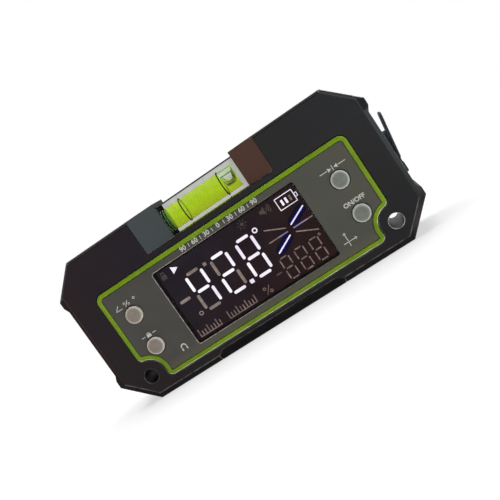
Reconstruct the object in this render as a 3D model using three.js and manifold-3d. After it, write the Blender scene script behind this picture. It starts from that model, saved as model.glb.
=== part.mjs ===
// Digital angle gauge with a bubble vial let into its top edge, in millimetres.
// +X runs to the right along the display, +Y from the front to the rear, +Z up.
// The origin is the middle of the base face.
import * as THREE from 'three';
import { mergeVertices } from 'three/addons/utils/BufferGeometryUtils.js';
import Module from 'manifold-3d';

const wasm = await Module();
wasm.setup();

// Casing, outside: its width and height follow from the display, the buttons and the vial
const bodyDepth = 25;
const lowerChamferWidth = 11.35;
const lowerChamferHeight = 11.3;
const upperChamferWidth = 11.05;
const upperChamferDrop = 10.8;
const endRecess = 1.2;
const endRecessLowMargin = 3;
const endRecessHighMargin = 2.7;
const endRecessRamp = 2.1;

// Bevel round both faces, as its width on each edge of the outline
const bevelDepth = 1.2;
const baseBevel = 2.2;
const lowerChamferBevel = 2.2;
const endBevel = 2.7;
const upperChamferBevel = 1.1;
const topBevel = 0.9;

// Casing, inside
const wall = 2.2;
const faceWall = 2.4;
const floorWall = 1.8;
const seamGap = 0.2;
const seatGap = 0.15;
const runningGap = 0.3;
const overrun = 2;

// Fixing holes through the lower corners
const fixingHoleInset = 13.25;
const fixingHoleHeight = 9.2;
const fixingHoleDiameter = 5.4;
const fixingBossWall = 2.2;

// Control panel
const panelSideMargin = 12.25;
const panelTopMargin = 2.35;
const panelBottom = 5.3;
const panelCornerRadius = 3;
const panelNotchMargin = 3.6;
const panelNotchFillet = 2.2;
const panelRecess = 1.3;
const frameWidth = 1.7;
const frameProud = 0.3;
const plateSink = 0.05;

// Display
const windowWidth = 60.2;
const windowHeight = 30.2;
const windowTopMargin = 4.5;
const windowBottomMargin = 4.6;
const windowCornerRadius = 0.8;
const windowLip = 0.6;
const windowSink = 0.12;
const glassMargin = 1;
const glassThickness = 1.8;
const gasketThickness = 0.6;
const gasketWidth = 1.2;
const holderWall = 1.5;
const contactStripWidth = 2.2;
const contactStripInset = 0.6;
const backlightMargin = 1;

// Buttons
const buttonColumnWidth = 23.4;
const buttonInset = 9.3;
const buttonNotchMargin = 2.45;
const buttonPitch = 13.7;
const buttonDiameter = 6.6;
const buttonProud = 1.3;
const buttonDomeRise = 0.45;
const buttonEdge = 0.3;
const buttonFlangeWidth = 0.9;
const buttonFlangeThickness = 0.7;
const buttonStemDiameter = 3.2;
const switchWidth = 6;
const switchThickness = 3.5;
const plungerDiameter = 3.4;
const plungerProud = 0.8;
const plungerSink = 0.9;
const plungerTravelRoom = 0.8;

// Circuit board and what stands on it
const boardStandoff = 5.8;
const boardThickness = 1.6;
const boardSideMargin = 14.5;
const boardBottomGap = 1.3;
const boardTopGap = 1.4;
const boardCornerCut = 8.5;
const boardTongueSetback = 3.1;
const boardTongueMargin = 1.6;
const boardBossGap = 1.25;
const boardScrewLowMargin = 3.3;
const boardScrewHighMargin = 4.5;
const boardBossDiameter = 5.2;
const boardScrewDiameter = 1.8;
const boardScrewHeadDiameter = 3.4;
const boardScrewHeadThickness = 1.2;
const boardScrewReach = 4;
const controllerWidth = 10;
const controllerThickness = 1.4;
const controllerX = 12;
const controllerRise = 5;
const tiltSensorWidth = 5;
const tiltSensorThickness = 1.1;
const tiltSensorX = -6;
const tiltSensorDrop = 3;
const buzzerDiameter = 9.6;
const buzzerThickness = 4;
const buzzerInset = 6;
const buzzerRise = 2;
const buzzerPortDiameter = 2;
const buzzerPortDepth = 1;

// Charging socket and its rubber flap
const socketWidth = 8.94;
const socketHeight = 3.26;
const socketLength = 7.4;
const socketSheet = 0.35;
const socketBore = 6.2;
const socketRise = 6.2;
const socketSetback = 2.7;
const tongueWidth = 6.6;
const tongueThickness = 0.7;
const tongueLength = 4.6;
const flapWidth = 8.4;
const flapThickness = 0.9;
const flapHingeDrop = 6.2;
const flapReach = 18.2;
const flapTipRadius = 2;
const flapPlugLength = 10.6;
const flapPlugWidth = 2.9;
const flapPlugDepth = 1.6;
const flapRootLength = 4;
const flapPegDiameter = 2.2;
const flapRestAngle = 8;

// Battery
const cellWidth = 46;
const cellHeight = 26;
const cellThickness = 6;
const cellCornerRadius = 2.4;
const cellX = 6;
const tapeThickness = 1;
const tapeMargin = 4;
const connectorWidth = 5;
const connectorHeight = 6;
const connectorThickness = 3.2;
const connectorGap = 0.8;
const leadDiameter = 1.2;
const leadSpacing = 2;
const leadRun = 7.5;
const leadCellDrop = 7;

// Vial and the pocket that it stands in
const pocketWaistWidth = 33;
const pocketSplayWidth = 10.6;
const pocketSplayDepth = 5;
const vialSection = 12.3;
const vialEndGrip = 2.5;
const vialTopMargin = 1.6;
const vialSlotWall = 2;
const boreDiameter = 8.6;
const boreDrop = 0.35;
const plugLength = 3.8;
const boreEndWall = 4.6;
const ringSpacing = 16.85;
const ringWidth = 0.4;
const ringDepth = 0.4;
const bubbleLength = 5.8;
const bubbleWidth = 7.4;
const bubbleHeight = 7.6;
const bubbleEndGap = 0.3;
const bubbleCrown = 1.2;

// Base plate, its magnets and the tabs that show in the casing's notches
const basePlateEndMargin = 2.4;
const basePlateFaceMargin = 3.5;
const basePlateThickness = 3;
const tabWidth = 48.7;
const tabHeight = 3.4;
const tabRampWidth = 2.25;
const tabRampHeight = 1.5;
const tabSetback = 0.7;
const magnetDiameter = 10;
const magnetThickness = 2;
const magnetEndMargin = 11.5;
const magnetCount = 4;
const baseScrewInset = 3.6;
const baseScrewDiameter = 2;
const baseScrewHeadDiameter = 3.8;
const baseScrewHeadThickness = 1.1;
const baseScrewTipGap = 0.7;
const baseBossDiameter = 4.8;
const baseBossGap = 0.35;

// Screws that hold the two casings together
const casingScrewUpperInset = 8.7;
const casingScrewUpperDrop = 8;
const casingScrewLowerInset = 6.6;
const casingScrewSocketDrop = 11.8;
const casingScrewDiameter = 2.6;
const casingScrewHeadDiameter = 4.6;
const casingScrewHeadThickness = 1.8;
const casingScrewFrontMargin = 5.6;
const casingScrewSink = 2.6;
const casingBossDiameter = 6.2;

// Rear face
const labelWidth = 60;
const labelHeight = 24;
const labelDepth = 0.4;
const labelRadius = 1.5;
const soundHoleDiameter = 1.4;
const soundHoleRing = 2.6;
const soundHoleCount = 6;

// Steps in a full circle, and in a quarter of an outline's arc
const roundSteps = 28;
const smallRoundSteps = 12;
const cornerSteps = 2;
const leadSteps = 5;
const leadSides = 4;

// Widths and heights worked out from the sizes
const panelWidth = windowWidth + 2 * buttonColumnWidth;
const bodyWidth = panelWidth + 2 * panelSideMargin;
const baseWidth = bodyWidth - 2 * lowerChamferWidth;
const topWidth = bodyWidth - 2 * upperChamferWidth;
const windowCentreHeight = panelBottom + windowBottomMargin + windowHeight / 2;
const panelTop = windowCentreHeight + windowHeight / 2 + windowTopMargin;
const pocketFloor = panelTop + panelTopMargin;
const vialBottom = pocketFloor + seatGap;
const vialTop = vialBottom + vialSection;
const vialAxis = vialBottom + vialSection / 2 - boreDrop;
const bodyHeight = vialTop + vialTopMargin;
const endRecessBottom = lowerChamferHeight + endRecessLowMargin;
const endRecessTop = bodyHeight - upperChamferDrop - endRecessHighMargin;
const pocketFaceWidth = pocketWaistWidth + 2 * pocketSplayWidth;
const vialLength = pocketWaistWidth + 2 * vialEndGrip;
const boreLeft = plugLength - vialLength / 2;
const boreRight = vialLength / 2 - boreEndWall;
const boreMiddle = (boreLeft + boreRight) / 2;
const ringPlaces = [boreMiddle - ringSpacing / 2, boreMiddle + ringSpacing / 2];

// Places worked out from the sizes
const frontFace = -bodyDepth / 2;
const rearFace = bodyDepth / 2;
const panelSeat = frontFace + panelRecess;
const shelfBack = frontFace + faceWall;
const glassFront = shelfBack + gasketThickness;
const glassBack = glassFront + glassThickness;
const boardFront = shelfBack + boardStandoff;
const boardRear = boardFront + boardThickness;
const seam = boardRear + seatGap + socketHeight / 2;
const endFace = bodyWidth / 2 - endRecess;
const innerEnd = endFace - wall;
const cavityFloor = basePlateThickness + seatGap + floorWall;
const pocketCeiling = pocketFloor - floorWall;
const fixingHoleX = bodyWidth / 2 - fixingHoleInset;
const panelNotchRadius = fixingHoleDiameter / 2 + panelNotchMargin;
const glassWidth = windowWidth + 2 * glassMargin;
const glassHeight = windowHeight + 2 * glassMargin;
const glassBottom = windowCentreHeight - glassHeight / 2;
const basePlateWidth = baseWidth - 2 * basePlateEndMargin;
const basePlateDepth = bodyDepth - 2 * basePlateFaceMargin;
const magnetSpacing = (basePlateWidth - 2 * magnetEndMargin) / (magnetCount - 1);
const baseBossHeight = glassBottom - seatGap - holderWall - baseBossGap;
const baseScrewX = magnetSpacing;
const baseScrewY = basePlateDepth / 2 - baseScrewInset;
const boardWidth = bodyWidth - 2 * boardSideMargin;
const boardBottom = baseBossHeight + boardBottomGap;
const boardTop = pocketCeiling - boardTopGap;
const boardScrewX = glassWidth / 2 + seatGap + holderWall + boardBossGap + boardBossDiameter / 2;
const boardScrewLow = boardBottom + boardScrewLowMargin;
const boardScrewHigh = boardTop - boardScrewHighMargin;
const socketCentreHeight = windowCentreHeight + socketRise;
const socketMouth = endFace - socketSetback;
const flapHingeHeight = socketCentreHeight - flapHingeDrop;
const cellFront = rearFace - faceWall - tapeThickness - cellThickness;
const cellZ = windowCentreHeight;
const connectorX = cellX - cellWidth / 2 - leadRun - connectorWidth / 2;
const connectorZ = boardScrewLow + boardScrewHeadDiameter / 2 + connectorGap + connectorHeight / 2;
const casingScrewUpperX = topWidth / 2 - casingScrewUpperInset;
const casingScrewUpperZ = bodyHeight - casingScrewUpperDrop;
const casingScrewLowerX = bodyWidth / 2 - casingScrewLowerInset;
const casingScrewLowerZ = socketCentreHeight - casingScrewSocketDrop;
const buttonX = panelWidth / 2 - buttonInset;
const lowerButtonHeight = fixingHoleHeight + panelNotchRadius + buttonNotchMargin;
const upperButtonHeight = lowerButtonHeight + buttonPitch;
const controllerPlace = [controllerX, windowCentreHeight + controllerRise];
const tiltSensorPlace = [tiltSensorX, windowCentreHeight - tiltSensorDrop];
const buzzerPlace = [buzzerInset - buttonX, windowCentreHeight + buzzerRise];
const buttonPlaces = {
  unit: [-buttonX, upperButtonHeight],
  hold: [-buttonX, lowerButtonHeight],
  reference: [buttonX, upperButtonHeight],
  power: [buttonX, lowerButtonHeight],
};

// Solids and how they are joined and cut

function solidOf(geometry) {
  const bare = geometry.clone();
  bare.deleteAttribute('normal');
  bare.deleteAttribute('uv');
  const merged = mergeVertices(bare);
  const index = merged.index.array;
  const kept = [];
  for (let i = 0; i < index.length; i += 3) {
    const [a, b, c] = [index[i], index[i + 1], index[i + 2]];
    if (a !== b && b !== c && c !== a) {
      kept.push(a, b, c);
    }
  }
  const vertProperties = new Float32Array(merged.attributes.position.array);
  const mesh = new wasm.Mesh({ numProp: 3, vertProperties, triVerts: new Uint32Array(kept) });
  return new wasm.Manifold(mesh);
}

function join(solids) {
  return solids.reduce((whole, solid) => whole.add(solid));
}

function cut(solid, cutters) {
  return cutters.reduce((left, cutter) => left.subtract(cutter), solid);
}

function geometryOf(solid) {
  const mesh = solid.getMesh();
  const geometry = new THREE.BufferGeometry();
  geometry.setAttribute('position', new THREE.BufferAttribute(mesh.vertProperties, 3));
  geometry.setIndex(new THREE.BufferAttribute(mesh.triVerts, 1));
  geometry.computeVertexNormals();
  return geometry;
}

// Outlines, as shapes in the plane that they are extruded from

function shapeOf(points, holes = []) {
  const shape = new THREE.Shape(points.map(([x, y]) => new THREE.Vector2(x, y)));
  shape.holes.push(...holes);
  return shape;
}

function roundedRectangle(width, height, radius, [x, y] = [0, 0]) {
  const shape = new THREE.Shape();
  const [right, top] = [x + width / 2 - radius, y + height / 2 - radius];
  const [left, bottom] = [x - width / 2 + radius, y - height / 2 + radius];
  shape.absarc(right, top, radius, 0, Math.PI / 2);
  shape.absarc(left, top, radius, Math.PI / 2, Math.PI);
  shape.absarc(left, bottom, radius, Math.PI, 1.5 * Math.PI);
  shape.absarc(right, bottom, radius, 1.5 * Math.PI, 2 * Math.PI);
  shape.closePath();
  return shape;
}

function insetOutline(corners, insets) {
  const count = corners.length;
  const lines = corners.map(([x, z], i) => {
    const [nextX, nextZ] = corners[(i + 1) % count];
    const length = Math.hypot(nextX - x, nextZ - z);
    const direction = [(nextX - x) / length, (nextZ - z) / length];
    return { point: [x - direction[1] * insets[i], z + direction[0] * insets[i]], direction };
  });
  return lines.map((line, i) => {
    const before = lines[(i + count - 1) % count];
    const across = before.direction[0] * line.direction[1] - before.direction[1] * line.direction[0];
    const toX = line.point[0] - before.point[0];
    const toZ = line.point[1] - before.point[1];
    const along = (toX * line.direction[1] - toZ * line.direction[0]) / across;
    return [before.point[0] + along * before.direction[0], before.point[1] + along * before.direction[1]];
  });
}

function bodyOutline({ base = 0, lower = 0, end = 0, upper = 0, top = 0 }) {
  const corners = [
    [-baseWidth / 2, 0],
    [baseWidth / 2, 0],
    [bodyWidth / 2, lowerChamferHeight],
    [bodyWidth / 2, bodyHeight - upperChamferDrop],
    [topWidth / 2, bodyHeight],
    [-topWidth / 2, bodyHeight],
    [-bodyWidth / 2, bodyHeight - upperChamferDrop],
    [-bodyWidth / 2, lowerChamferHeight],
  ];
  return insetOutline(corners, [base, lower, end, upper, top, upper, end, lower]);
}

// The panel's outline, drawn in by an inset: its lower corners run round the fixing holes
function panelOutline(inset) {
  const half = panelWidth / 2 - inset;
  const top = panelTop - inset;
  const bottom = panelBottom + inset;
  const corner = panelCornerRadius - inset;
  const notch = panelNotchRadius + inset;
  const fillet = panelNotchFillet - inset;
  const reach = notch + fillet;
  const sideX = half - fillet;
  const sideZ = fixingHoleHeight + Math.sqrt(reach ** 2 - (sideX - fixingHoleX) ** 2);
  const footZ = bottom + fillet;
  const footX = fixingHoleX - Math.sqrt(reach ** 2 - (footZ - fixingHoleHeight) ** 2);
  const sideTurn = Math.atan2(fixingHoleHeight - sideZ, fixingHoleX - sideX);
  const footTurn = Math.atan2(fixingHoleHeight - footZ, fixingHoleX - footX);
  const shape = new THREE.Shape();
  shape.absarc(footX, footZ, fillet, -Math.PI / 2, footTurn);
  shape.absarc(fixingHoleX, fixingHoleHeight, notch, footTurn + Math.PI, sideTurn + Math.PI, true);
  shape.absarc(sideX, sideZ, fillet, sideTurn, 0);
  shape.absarc(half - corner, top - corner, corner, 0, Math.PI / 2);
  shape.absarc(corner - half, top - corner, corner, Math.PI / 2, Math.PI);
  shape.absarc(-sideX, sideZ, fillet, Math.PI, Math.PI - sideTurn);
  shape.absarc(-fixingHoleX, fixingHoleHeight, notch, -sideTurn, -footTurn, true);
  shape.absarc(-footX, footZ, fillet, Math.PI - footTurn, 1.5 * Math.PI);
  shape.closePath();
  return shape;
}

// Extrusions: along Y from an outline in X and Z, along Z from one in X and Y, along X from Y and Z

function extruded(shape, length, steps) {
  return new THREE.ExtrudeGeometry(shape, { depth: length, bevelEnabled: false, curveSegments: steps });
}

function alongY(shape, from, to, steps = cornerSteps) {
  const geometry = extruded(shape, to - from, steps);
  geometry.rotateX(Math.PI / 2);
  geometry.translate(0, to, 0);
  return solidOf(geometry);
}

function alongZ(shape, from, to, steps = cornerSteps) {
  const geometry = extruded(shape, to - from, steps);
  geometry.translate(0, 0, from);
  return solidOf(geometry);
}

function alongX(shape, from, to, steps = cornerSteps) {
  const geometry = extruded(shape, to - from, steps);
  geometry.applyMatrix4(new THREE.Matrix4().makeBasis(
    new THREE.Vector3(0, 1, 0),
    new THREE.Vector3(0, 0, 1),
    new THREE.Vector3(1, 0, 0),
  ));
  geometry.translate(from, 0, 0);
  return solidOf(geometry);
}

function block([x0, x1], [y0, y1], [z0, z1]) {
  const geometry = new THREE.BoxGeometry(x1 - x0, y1 - y0, z1 - z0);
  geometry.translate((x0 + x1) / 2, (y0 + y1) / 2, (z0 + z1) / 2);
  return solidOf(geometry);
}

// A loft between outlines of as many corners, from the front outline to the rear one
function lofted(rings) {
  const count = rings[0].points.length;
  const positions = rings.flatMap(({ y, points }) => points.flatMap(([x, z]) => [x, y, z]));
  const index = [];
  const capOf = (ring) => THREE.ShapeUtils.triangulateShape(
    ring.points.map(([x, z]) => new THREE.Vector2(x, z)),
    [],
  );
  const last = (rings.length - 1) * count;
  capOf(rings[0]).forEach(([a, b, c]) => index.push(a, b, c));
  capOf(rings.at(-1)).forEach(([a, b, c]) => index.push(last + a, last + c, last + b));
  for (let ring = 0; ring < rings.length - 1; ring += 1) {
    for (let i = 0; i < count; i += 1) {
      const near = ring * count + i;
      const nearNext = ring * count + (i + 1) % count;
      const [far, farNext] = [near + count, nearNext + count];
      index.push(near, far, nearNext, nearNext, far, farNext);
    }
  }
  const geometry = new THREE.BufferGeometry();
  geometry.setAttribute('position', new THREE.Float32BufferAttribute(positions, 3));
  geometry.setIndex(index);
  return solidOf(geometry);
}

// A turned solid on the Y axis, from its profile as [radius, y] points in order of y
function turnedGeometry(profile, steps) {
  return new THREE.LatheGeometry(profile.map(([radius, y]) => new THREE.Vector2(radius, y)), steps);
}

function turnedOnY(profile, [x, z] = [0, 0], steps = smallRoundSteps) {
  return solidOf(turnedGeometry(profile, steps).translate(x, 0, z));
}

function turnedOnX(profile, [y, z], steps = roundSteps) {
  return solidOf(turnedGeometry(profile, steps).rotateZ(-Math.PI / 2).translate(0, y, z));
}

function turnedOnZ(profile, [x, y], steps = smallRoundSteps) {
  return solidOf(turnedGeometry(profile, steps).rotateX(Math.PI / 2).translate(x, y, 0));
}

function rodProfile(diameter, from, to) {
  return [[0, from], [diameter / 2, from], [diameter / 2, to], [0, to]];
}

// The casings

function pocketOutline(extra, waist, splayDepth) {
  const face = pocketFaceWidth / 2 + extra;
  return shapeOf([
    [-face, frontFace - overrun],
    [face, frontFace - overrun],
    [face, frontFace],
    [waist, frontFace + splayDepth],
    [waist, rearFace - splayDepth],
    [face, rearFace],
    [face, rearFace + overrun],
    [-face, rearFace + overrun],
    [-face, rearFace],
    [-waist, rearFace - splayDepth],
    [-waist, frontFace + splayDepth],
    [-face, frontFace],
  ]);
}

function endRecessCutters() {
  const outer = bodyWidth / 2 + overrun;
  const shape = shapeOf([
    [bodyWidth / 2, endRecessBottom],
    [outer, endRecessBottom],
    [outer, endRecessTop],
    [bodyWidth / 2, endRecessTop],
    [endFace, endRecessTop - endRecessRamp],
    [endFace, endRecessBottom + endRecessRamp],
  ]);
  const right = alongY(shape, frontFace - overrun, rearFace + overrun);
  return [right, right.mirror([1, 0, 0])];
}

function cavity(from, to) {
  const inner = bodyOutline({
    base: cavityFloor,
    lower: wall,
    end: wall + endRecess,
    upper: wall,
    top: wall,
  });
  const hollow = lofted([{ y: from, points: inner }, { y: to, points: inner }]);
  const surround = pocketOutline(wall, vialLength / 2 + seatGap + vialSlotWall, pocketSplayDepth + wall);
  return hollow.subtract(alongZ(surround, pocketCeiling, bodyHeight));
}

function tabOutline(clearance) {
  const half = tabWidth / 2 + clearance;
  const top = tabHeight + clearance;
  return shapeOf([
    [-half - tabRampWidth, -overrun],
    [half + tabRampWidth, -overrun],
    [half + tabRampWidth, top - tabRampHeight],
    [half, top],
    [-half, top],
    [-half - tabRampWidth, top - tabRampHeight],
  ]);
}

// What both casings lose: the vial's pocket and slots, the base plate's seat, the holes and the port
function sharedCutters() {
  const slotHalf = vialLength / 2 + seatGap;
  const slotDepth = vialSection / 2 + seatGap;
  const plateHalf = basePlateWidth / 2 + seatGap;
  const plateDepth = basePlateDepth / 2 + seatGap;
  const front = frontFace - overrun;
  const rear = rearFace + overrun;
  const port = roundedRectangle(
    flapPlugWidth + 2 * runningGap,
    flapPlugLength + 4 * runningGap,
    flapPlugWidth / 2,
    [seam, socketCentreHeight],
  );
  return [
    alongZ(pocketOutline(0, pocketWaistWidth / 2, pocketSplayDepth), pocketFloor, bodyHeight + overrun),
    block([-slotHalf, slotHalf], [-slotDepth, slotDepth], [pocketFloor, vialTop + seatGap]),
    block([-plateHalf, plateHalf], [-plateDepth, plateDepth], [-overrun, basePlateThickness + seatGap]),
    alongY(tabOutline(seatGap), front, rear),
    ...rods(fixingHolePlaces, fixingHoleDiameter, front, rear, roundSteps),
    alongX(port, innerEnd - overrun, bodyWidth / 2 + overrun),
    turnedOnX(
      rodProfile(flapPegDiameter + 2 * seatGap, innerEnd - overrun, bodyWidth / 2 + overrun),
      [seam, flapRootMiddle],
      smallRoundSteps,
    ),
    ...endRecessCutters(),
  ];
}

const flapRootTop = flapHingeHeight - flapThickness / 2 - runningGap;
const flapRootMiddle = flapRootTop - flapRootLength / 2;
const casingScrewPlaces = {
  upper_left: [-casingScrewUpperX, casingScrewUpperZ],
  upper_right: [casingScrewUpperX, casingScrewUpperZ],
  lower_left: [-casingScrewLowerX, casingScrewLowerZ],
  lower_right: [casingScrewLowerX, casingScrewLowerZ],
};
const boardScrewPlaces = {
  upper_left: [-boardScrewX, boardScrewHigh],
  upper_right: [boardScrewX, boardScrewHigh],
  lower_left: [-boardScrewX, boardScrewLow],
  lower_right: [boardScrewX, boardScrewLow],
};
const fixingHolePlaces = {
  left: [-fixingHoleX, fixingHoleHeight],
  right: [fixingHoleX, fixingHoleHeight],
};
const casingScrewHeadSeat = rearFace - casingScrewSink - casingScrewHeadThickness;
const casingScrewTip = frontFace + casingScrewFrontMargin;
const boardScrewTip = boardFront - seatGap - boardScrewReach;
const crossLengthShare = 0.6;
const crossWidthShare = 0.16;

// Round posts or holes along Y at each of the places
function rods(places, diameter, from, to, steps = smallRoundSteps) {
  return Object.values(places).map((place) => turnedOnY(rodProfile(diameter, from, to), place, steps));
}

function fixingBosses(from, to) {
  return rods(fixingHolePlaces, fixingHoleDiameter + 2 * fixingBossWall, from, to, roundSteps);
}

function baseBosses(y) {
  return [-baseScrewX, baseScrewX].map((x) => turnedOnZ(
    rodProfile(baseBossDiameter, basePlateThickness + seatGap, baseBossHeight),
    [x, y],
  ));
}

function baseScrewHoles(y) {
  return [-baseScrewX, baseScrewX].map((x) => turnedOnZ(
    rodProfile(baseScrewDiameter + 2 * seatGap, 0, baseBossHeight - seatGap),
    [x, y],
  ));
}

function frontHousing() {
  const seamFront = seam - seamGap / 2;
  const face = bodyOutline({
    base: baseBevel,
    lower: lowerChamferBevel,
    end: endBevel,
    upper: upperChamferBevel,
    top: topBevel,
  });
  const full = bodyOutline({});
  const shell = lofted([
    { y: frontFace, points: face },
    { y: frontFace + bevelDepth, points: full },
    { y: seamFront, points: full },
  ]);
  const opening = roundedRectangle(
    windowWidth - 2 * windowLip,
    windowHeight - 2 * windowLip,
    windowCornerRadius,
    [0, windowCentreHeight],
  );
  const flangeHole = buttonDiameter + 2 * buttonFlangeWidth + 2 * runningGap;
  const screwHole = casingScrewDiameter + 2 * seatGap;
  const boardScrewHole = boardScrewDiameter + 2 * seatGap;
  return cut(shell.subtract(cavity(shelfBack, seamFront + overrun)).add(join([
    ...fixingBosses(panelSeat, seamFront),
    ...rods(casingScrewPlaces, casingBossDiameter, shelfBack - overrun / 2, seamFront),
    ...rods(boardScrewPlaces, boardBossDiameter, panelSeat, boardFront - seatGap),
    ...baseBosses(-baseScrewY),
  ])), [
    alongY(panelOutline(-seatGap), frontFace - overrun, panelSeat),
    alongY(opening, frontFace, shelfBack + overrun),
    ...rods(buttonPlaces, flangeHole, frontFace, shelfBack + overrun),
    ...rods(casingScrewPlaces, screwHole, casingScrewTip - seatGap, seamFront + overrun),
    ...rods(boardScrewPlaces, boardScrewHole, boardScrewTip - seatGap, boardFront),
    ...baseScrewHoles(-baseScrewY),
    ...sharedCutters(),
  ]);
}

function soundHoles() {
  const ring = Array.from({ length: soundHoleCount }, (_, i) => {
    const turn = (2 * Math.PI * i) / soundHoleCount;
    return [
      buzzerPlace[0] + soundHoleRing * Math.cos(turn),
      buzzerPlace[1] + soundHoleRing * Math.sin(turn),
    ];
  });
  const inside = rearFace - faceWall - overrun;
  return rods([buzzerPlace, ...ring], soundHoleDiameter, inside, rearFace + overrun);
}

function rearHousing() {
  const seamRear = seam + seamGap / 2;
  const face = bodyOutline({
    base: baseBevel,
    lower: lowerChamferBevel,
    end: endBevel,
    upper: upperChamferBevel,
    top: topBevel,
  });
  const full = bodyOutline({});
  const shell = lofted([
    { y: seamRear, points: full },
    { y: rearFace - bevelDepth, points: full },
    { y: rearFace, points: face },
  ]);
  const label = roundedRectangle(labelWidth, labelHeight, labelRadius, [0, windowCentreHeight]);
  const screwHole = casingScrewDiameter + 2 * seatGap;
  const headHole = casingScrewHeadDiameter + 2 * seatGap;
  return cut(shell.subtract(cavity(seamRear - overrun, rearFace - faceWall)).add(join([
    ...fixingBosses(seamRear, rearFace - faceWall / 2),
    ...rods(casingScrewPlaces, casingBossDiameter, seamRear, rearFace - faceWall / 2),
    ...baseBosses(baseScrewY),
  ])), [
    alongY(label, rearFace - labelDepth, rearFace + overrun),
    ...rods(casingScrewPlaces, screwHole, seamRear - overrun, rearFace),
    ...rods(casingScrewPlaces, headHole, casingScrewHeadSeat - seatGap, rearFace + overrun),
    ...baseScrewHoles(baseScrewY),
    ...soundHoles(),
    ...sharedCutters(),
  ]);
}

// A cross recess in a screw head that faces the rear, as deep as its arms are wide
function crossRecess([x, z], headDiameter, top) {
  const length = headDiameter * crossLengthShare / 2;
  const width = headDiameter * crossWidthShare / 2;
  const depth = [top - 2 * width, top + overrun];
  return join([
    block([x - length, x + length], depth, [z - width, z + width]),
    block([x - width, x + width], depth, [z - length, z + length]),
  ]);
}

// A round-headed screw along Y whose head faces the rear
function rearScrew(place, diameter, headDiameter, headThickness, tip, seat) {
  const top = seat + headThickness;
  return turnedOnY([
    [0, tip],
    [diameter / 4, tip],
    [diameter / 2, tip + diameter / 2],
    [diameter / 2, seat],
    [headDiameter / 2, seat],
    [headDiameter / 2, seat + headThickness / 2],
    [headDiameter / 3, top],
    [0, top],
  ], place).subtract(crossRecess(place, headDiameter, top));
}

function casingScrew(place) {
  return rearScrew(
    place,
    casingScrewDiameter,
    casingScrewHeadDiameter,
    casingScrewHeadThickness,
    casingScrewTip,
    casingScrewHeadSeat,
  );
}

// The control panel

function panelFrame() {
  const back = panelSeat - seatGap;
  const body = alongY(panelOutline(0), frontFace - frameProud, back);
  const hole = alongY(panelOutline(frameWidth), frontFace - frameProud - overrun, back + overrun);
  return body.subtract(hole);
}

function panelPlate() {
  const front = frontFace + plateSink;
  const back = panelSeat - seatGap;
  const opening = roundedRectangle(
    windowWidth + 2 * seatGap,
    windowHeight + 2 * seatGap,
    windowCornerRadius + seatGap,
    [0, windowCentreHeight],
  );
  return cut(alongY(panelOutline(frameWidth + seatGap), front, back), [
    alongY(opening, front - overrun, back + overrun),
    ...Object.values(buttonPlaces).map((place) => turnedOnY(
      rodProfile(buttonDiameter + 2 * runningGap, front - overrun, back + overrun),
      place,
      roundSteps,
    )),
  ]);
}

// The display, from its window back to the board

function displayWindow() {
  const shape = roundedRectangle(windowWidth, windowHeight, windowCornerRadius, [0, windowCentreHeight]);
  return alongY(shape, frontFace + windowSink, panelSeat - seatGap);
}

function glassOutline(extra, radius) {
  return roundedRectangle(glassWidth + 2 * extra, glassHeight + 2 * extra, radius, [0, windowCentreHeight]);
}

function displayGasket() {
  const outer = glassOutline(0, windowCornerRadius);
  outer.holes.push(glassOutline(-gasketWidth, windowCornerRadius));
  return alongY(outer, shelfBack + seatGap, glassFront);
}

function displayGlass() {
  return alongY(glassOutline(0, windowCornerRadius), glassFront + seatGap, glassBack);
}

function displayBacklight() {
  const bottom = glassBottom + contactStripInset + contactStripWidth + backlightMargin;
  const top = glassBottom + glassHeight - backlightMargin;
  const half = glassWidth / 2 - backlightMargin;
  return block([-half, half], [glassBack + seatGap, boardFront - seatGap], [bottom, top]);
}

function displayHolder() {
  const outer = glassOutline(holderWall + seatGap, holderWall);
  outer.holes.push(glassOutline(seatGap, windowCornerRadius));
  return alongY(outer, shelfBack + seatGap, boardFront - seatGap);
}

function contactStrip() {
  const bottom = glassBottom + contactStripInset;
  const half = windowWidth / 2 - windowLip;
  const depth = [glassBack + seatGap, boardFront - seatGap];
  return block([-half, half], depth, [bottom, bottom + contactStripWidth]);
}

// Buttons, with the switch under each

const switchFront = boardFront - seatGap - switchThickness;
const plungerFront = switchFront - plungerProud;

function buttonCap(place) {
  const front = frontFace - buttonProud;
  const radius = buttonDiameter / 2;
  const flangeFront = panelSeat + seatGap;
  const flangeBack = flangeFront + buttonFlangeThickness;
  const domeRadius = radius - buttonEdge;
  const dome = Array.from({ length: cornerSteps }, (_, i) => {
    const share = i / cornerSteps;
    return [domeRadius * share, front + buttonDomeRise * share ** 2];
  });
  return turnedOnY([
    ...dome,
    [domeRadius, front + buttonDomeRise],
    [radius, front + buttonDomeRise + buttonEdge],
    [radius, flangeFront],
    [radius + buttonFlangeWidth, flangeFront],
    [radius + buttonFlangeWidth, flangeBack],
    [buttonStemDiameter / 2, flangeBack],
    [buttonStemDiameter / 2, plungerFront - seatGap],
    [0, plungerFront - seatGap],
  ], place, roundSteps);
}

function switchPlunger(place) {
  return turnedOnY(rodProfile(plungerDiameter, plungerFront, switchFront + plungerSink), place);
}

function pushSwitch([x, z]) {
  const half = switchWidth / 2;
  const depth = [switchFront, boardFront - seatGap];
  const bore = rodProfile(
    plungerDiameter + 2 * runningGap,
    switchFront - overrun,
    switchFront + plungerSink + plungerTravelRoom,
  );
  return block([x - half, x + half], depth, [z - half, z + half]).subtract(turnedOnY(bore, [x, z]));
}

// The circuit board and what stands on it

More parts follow.
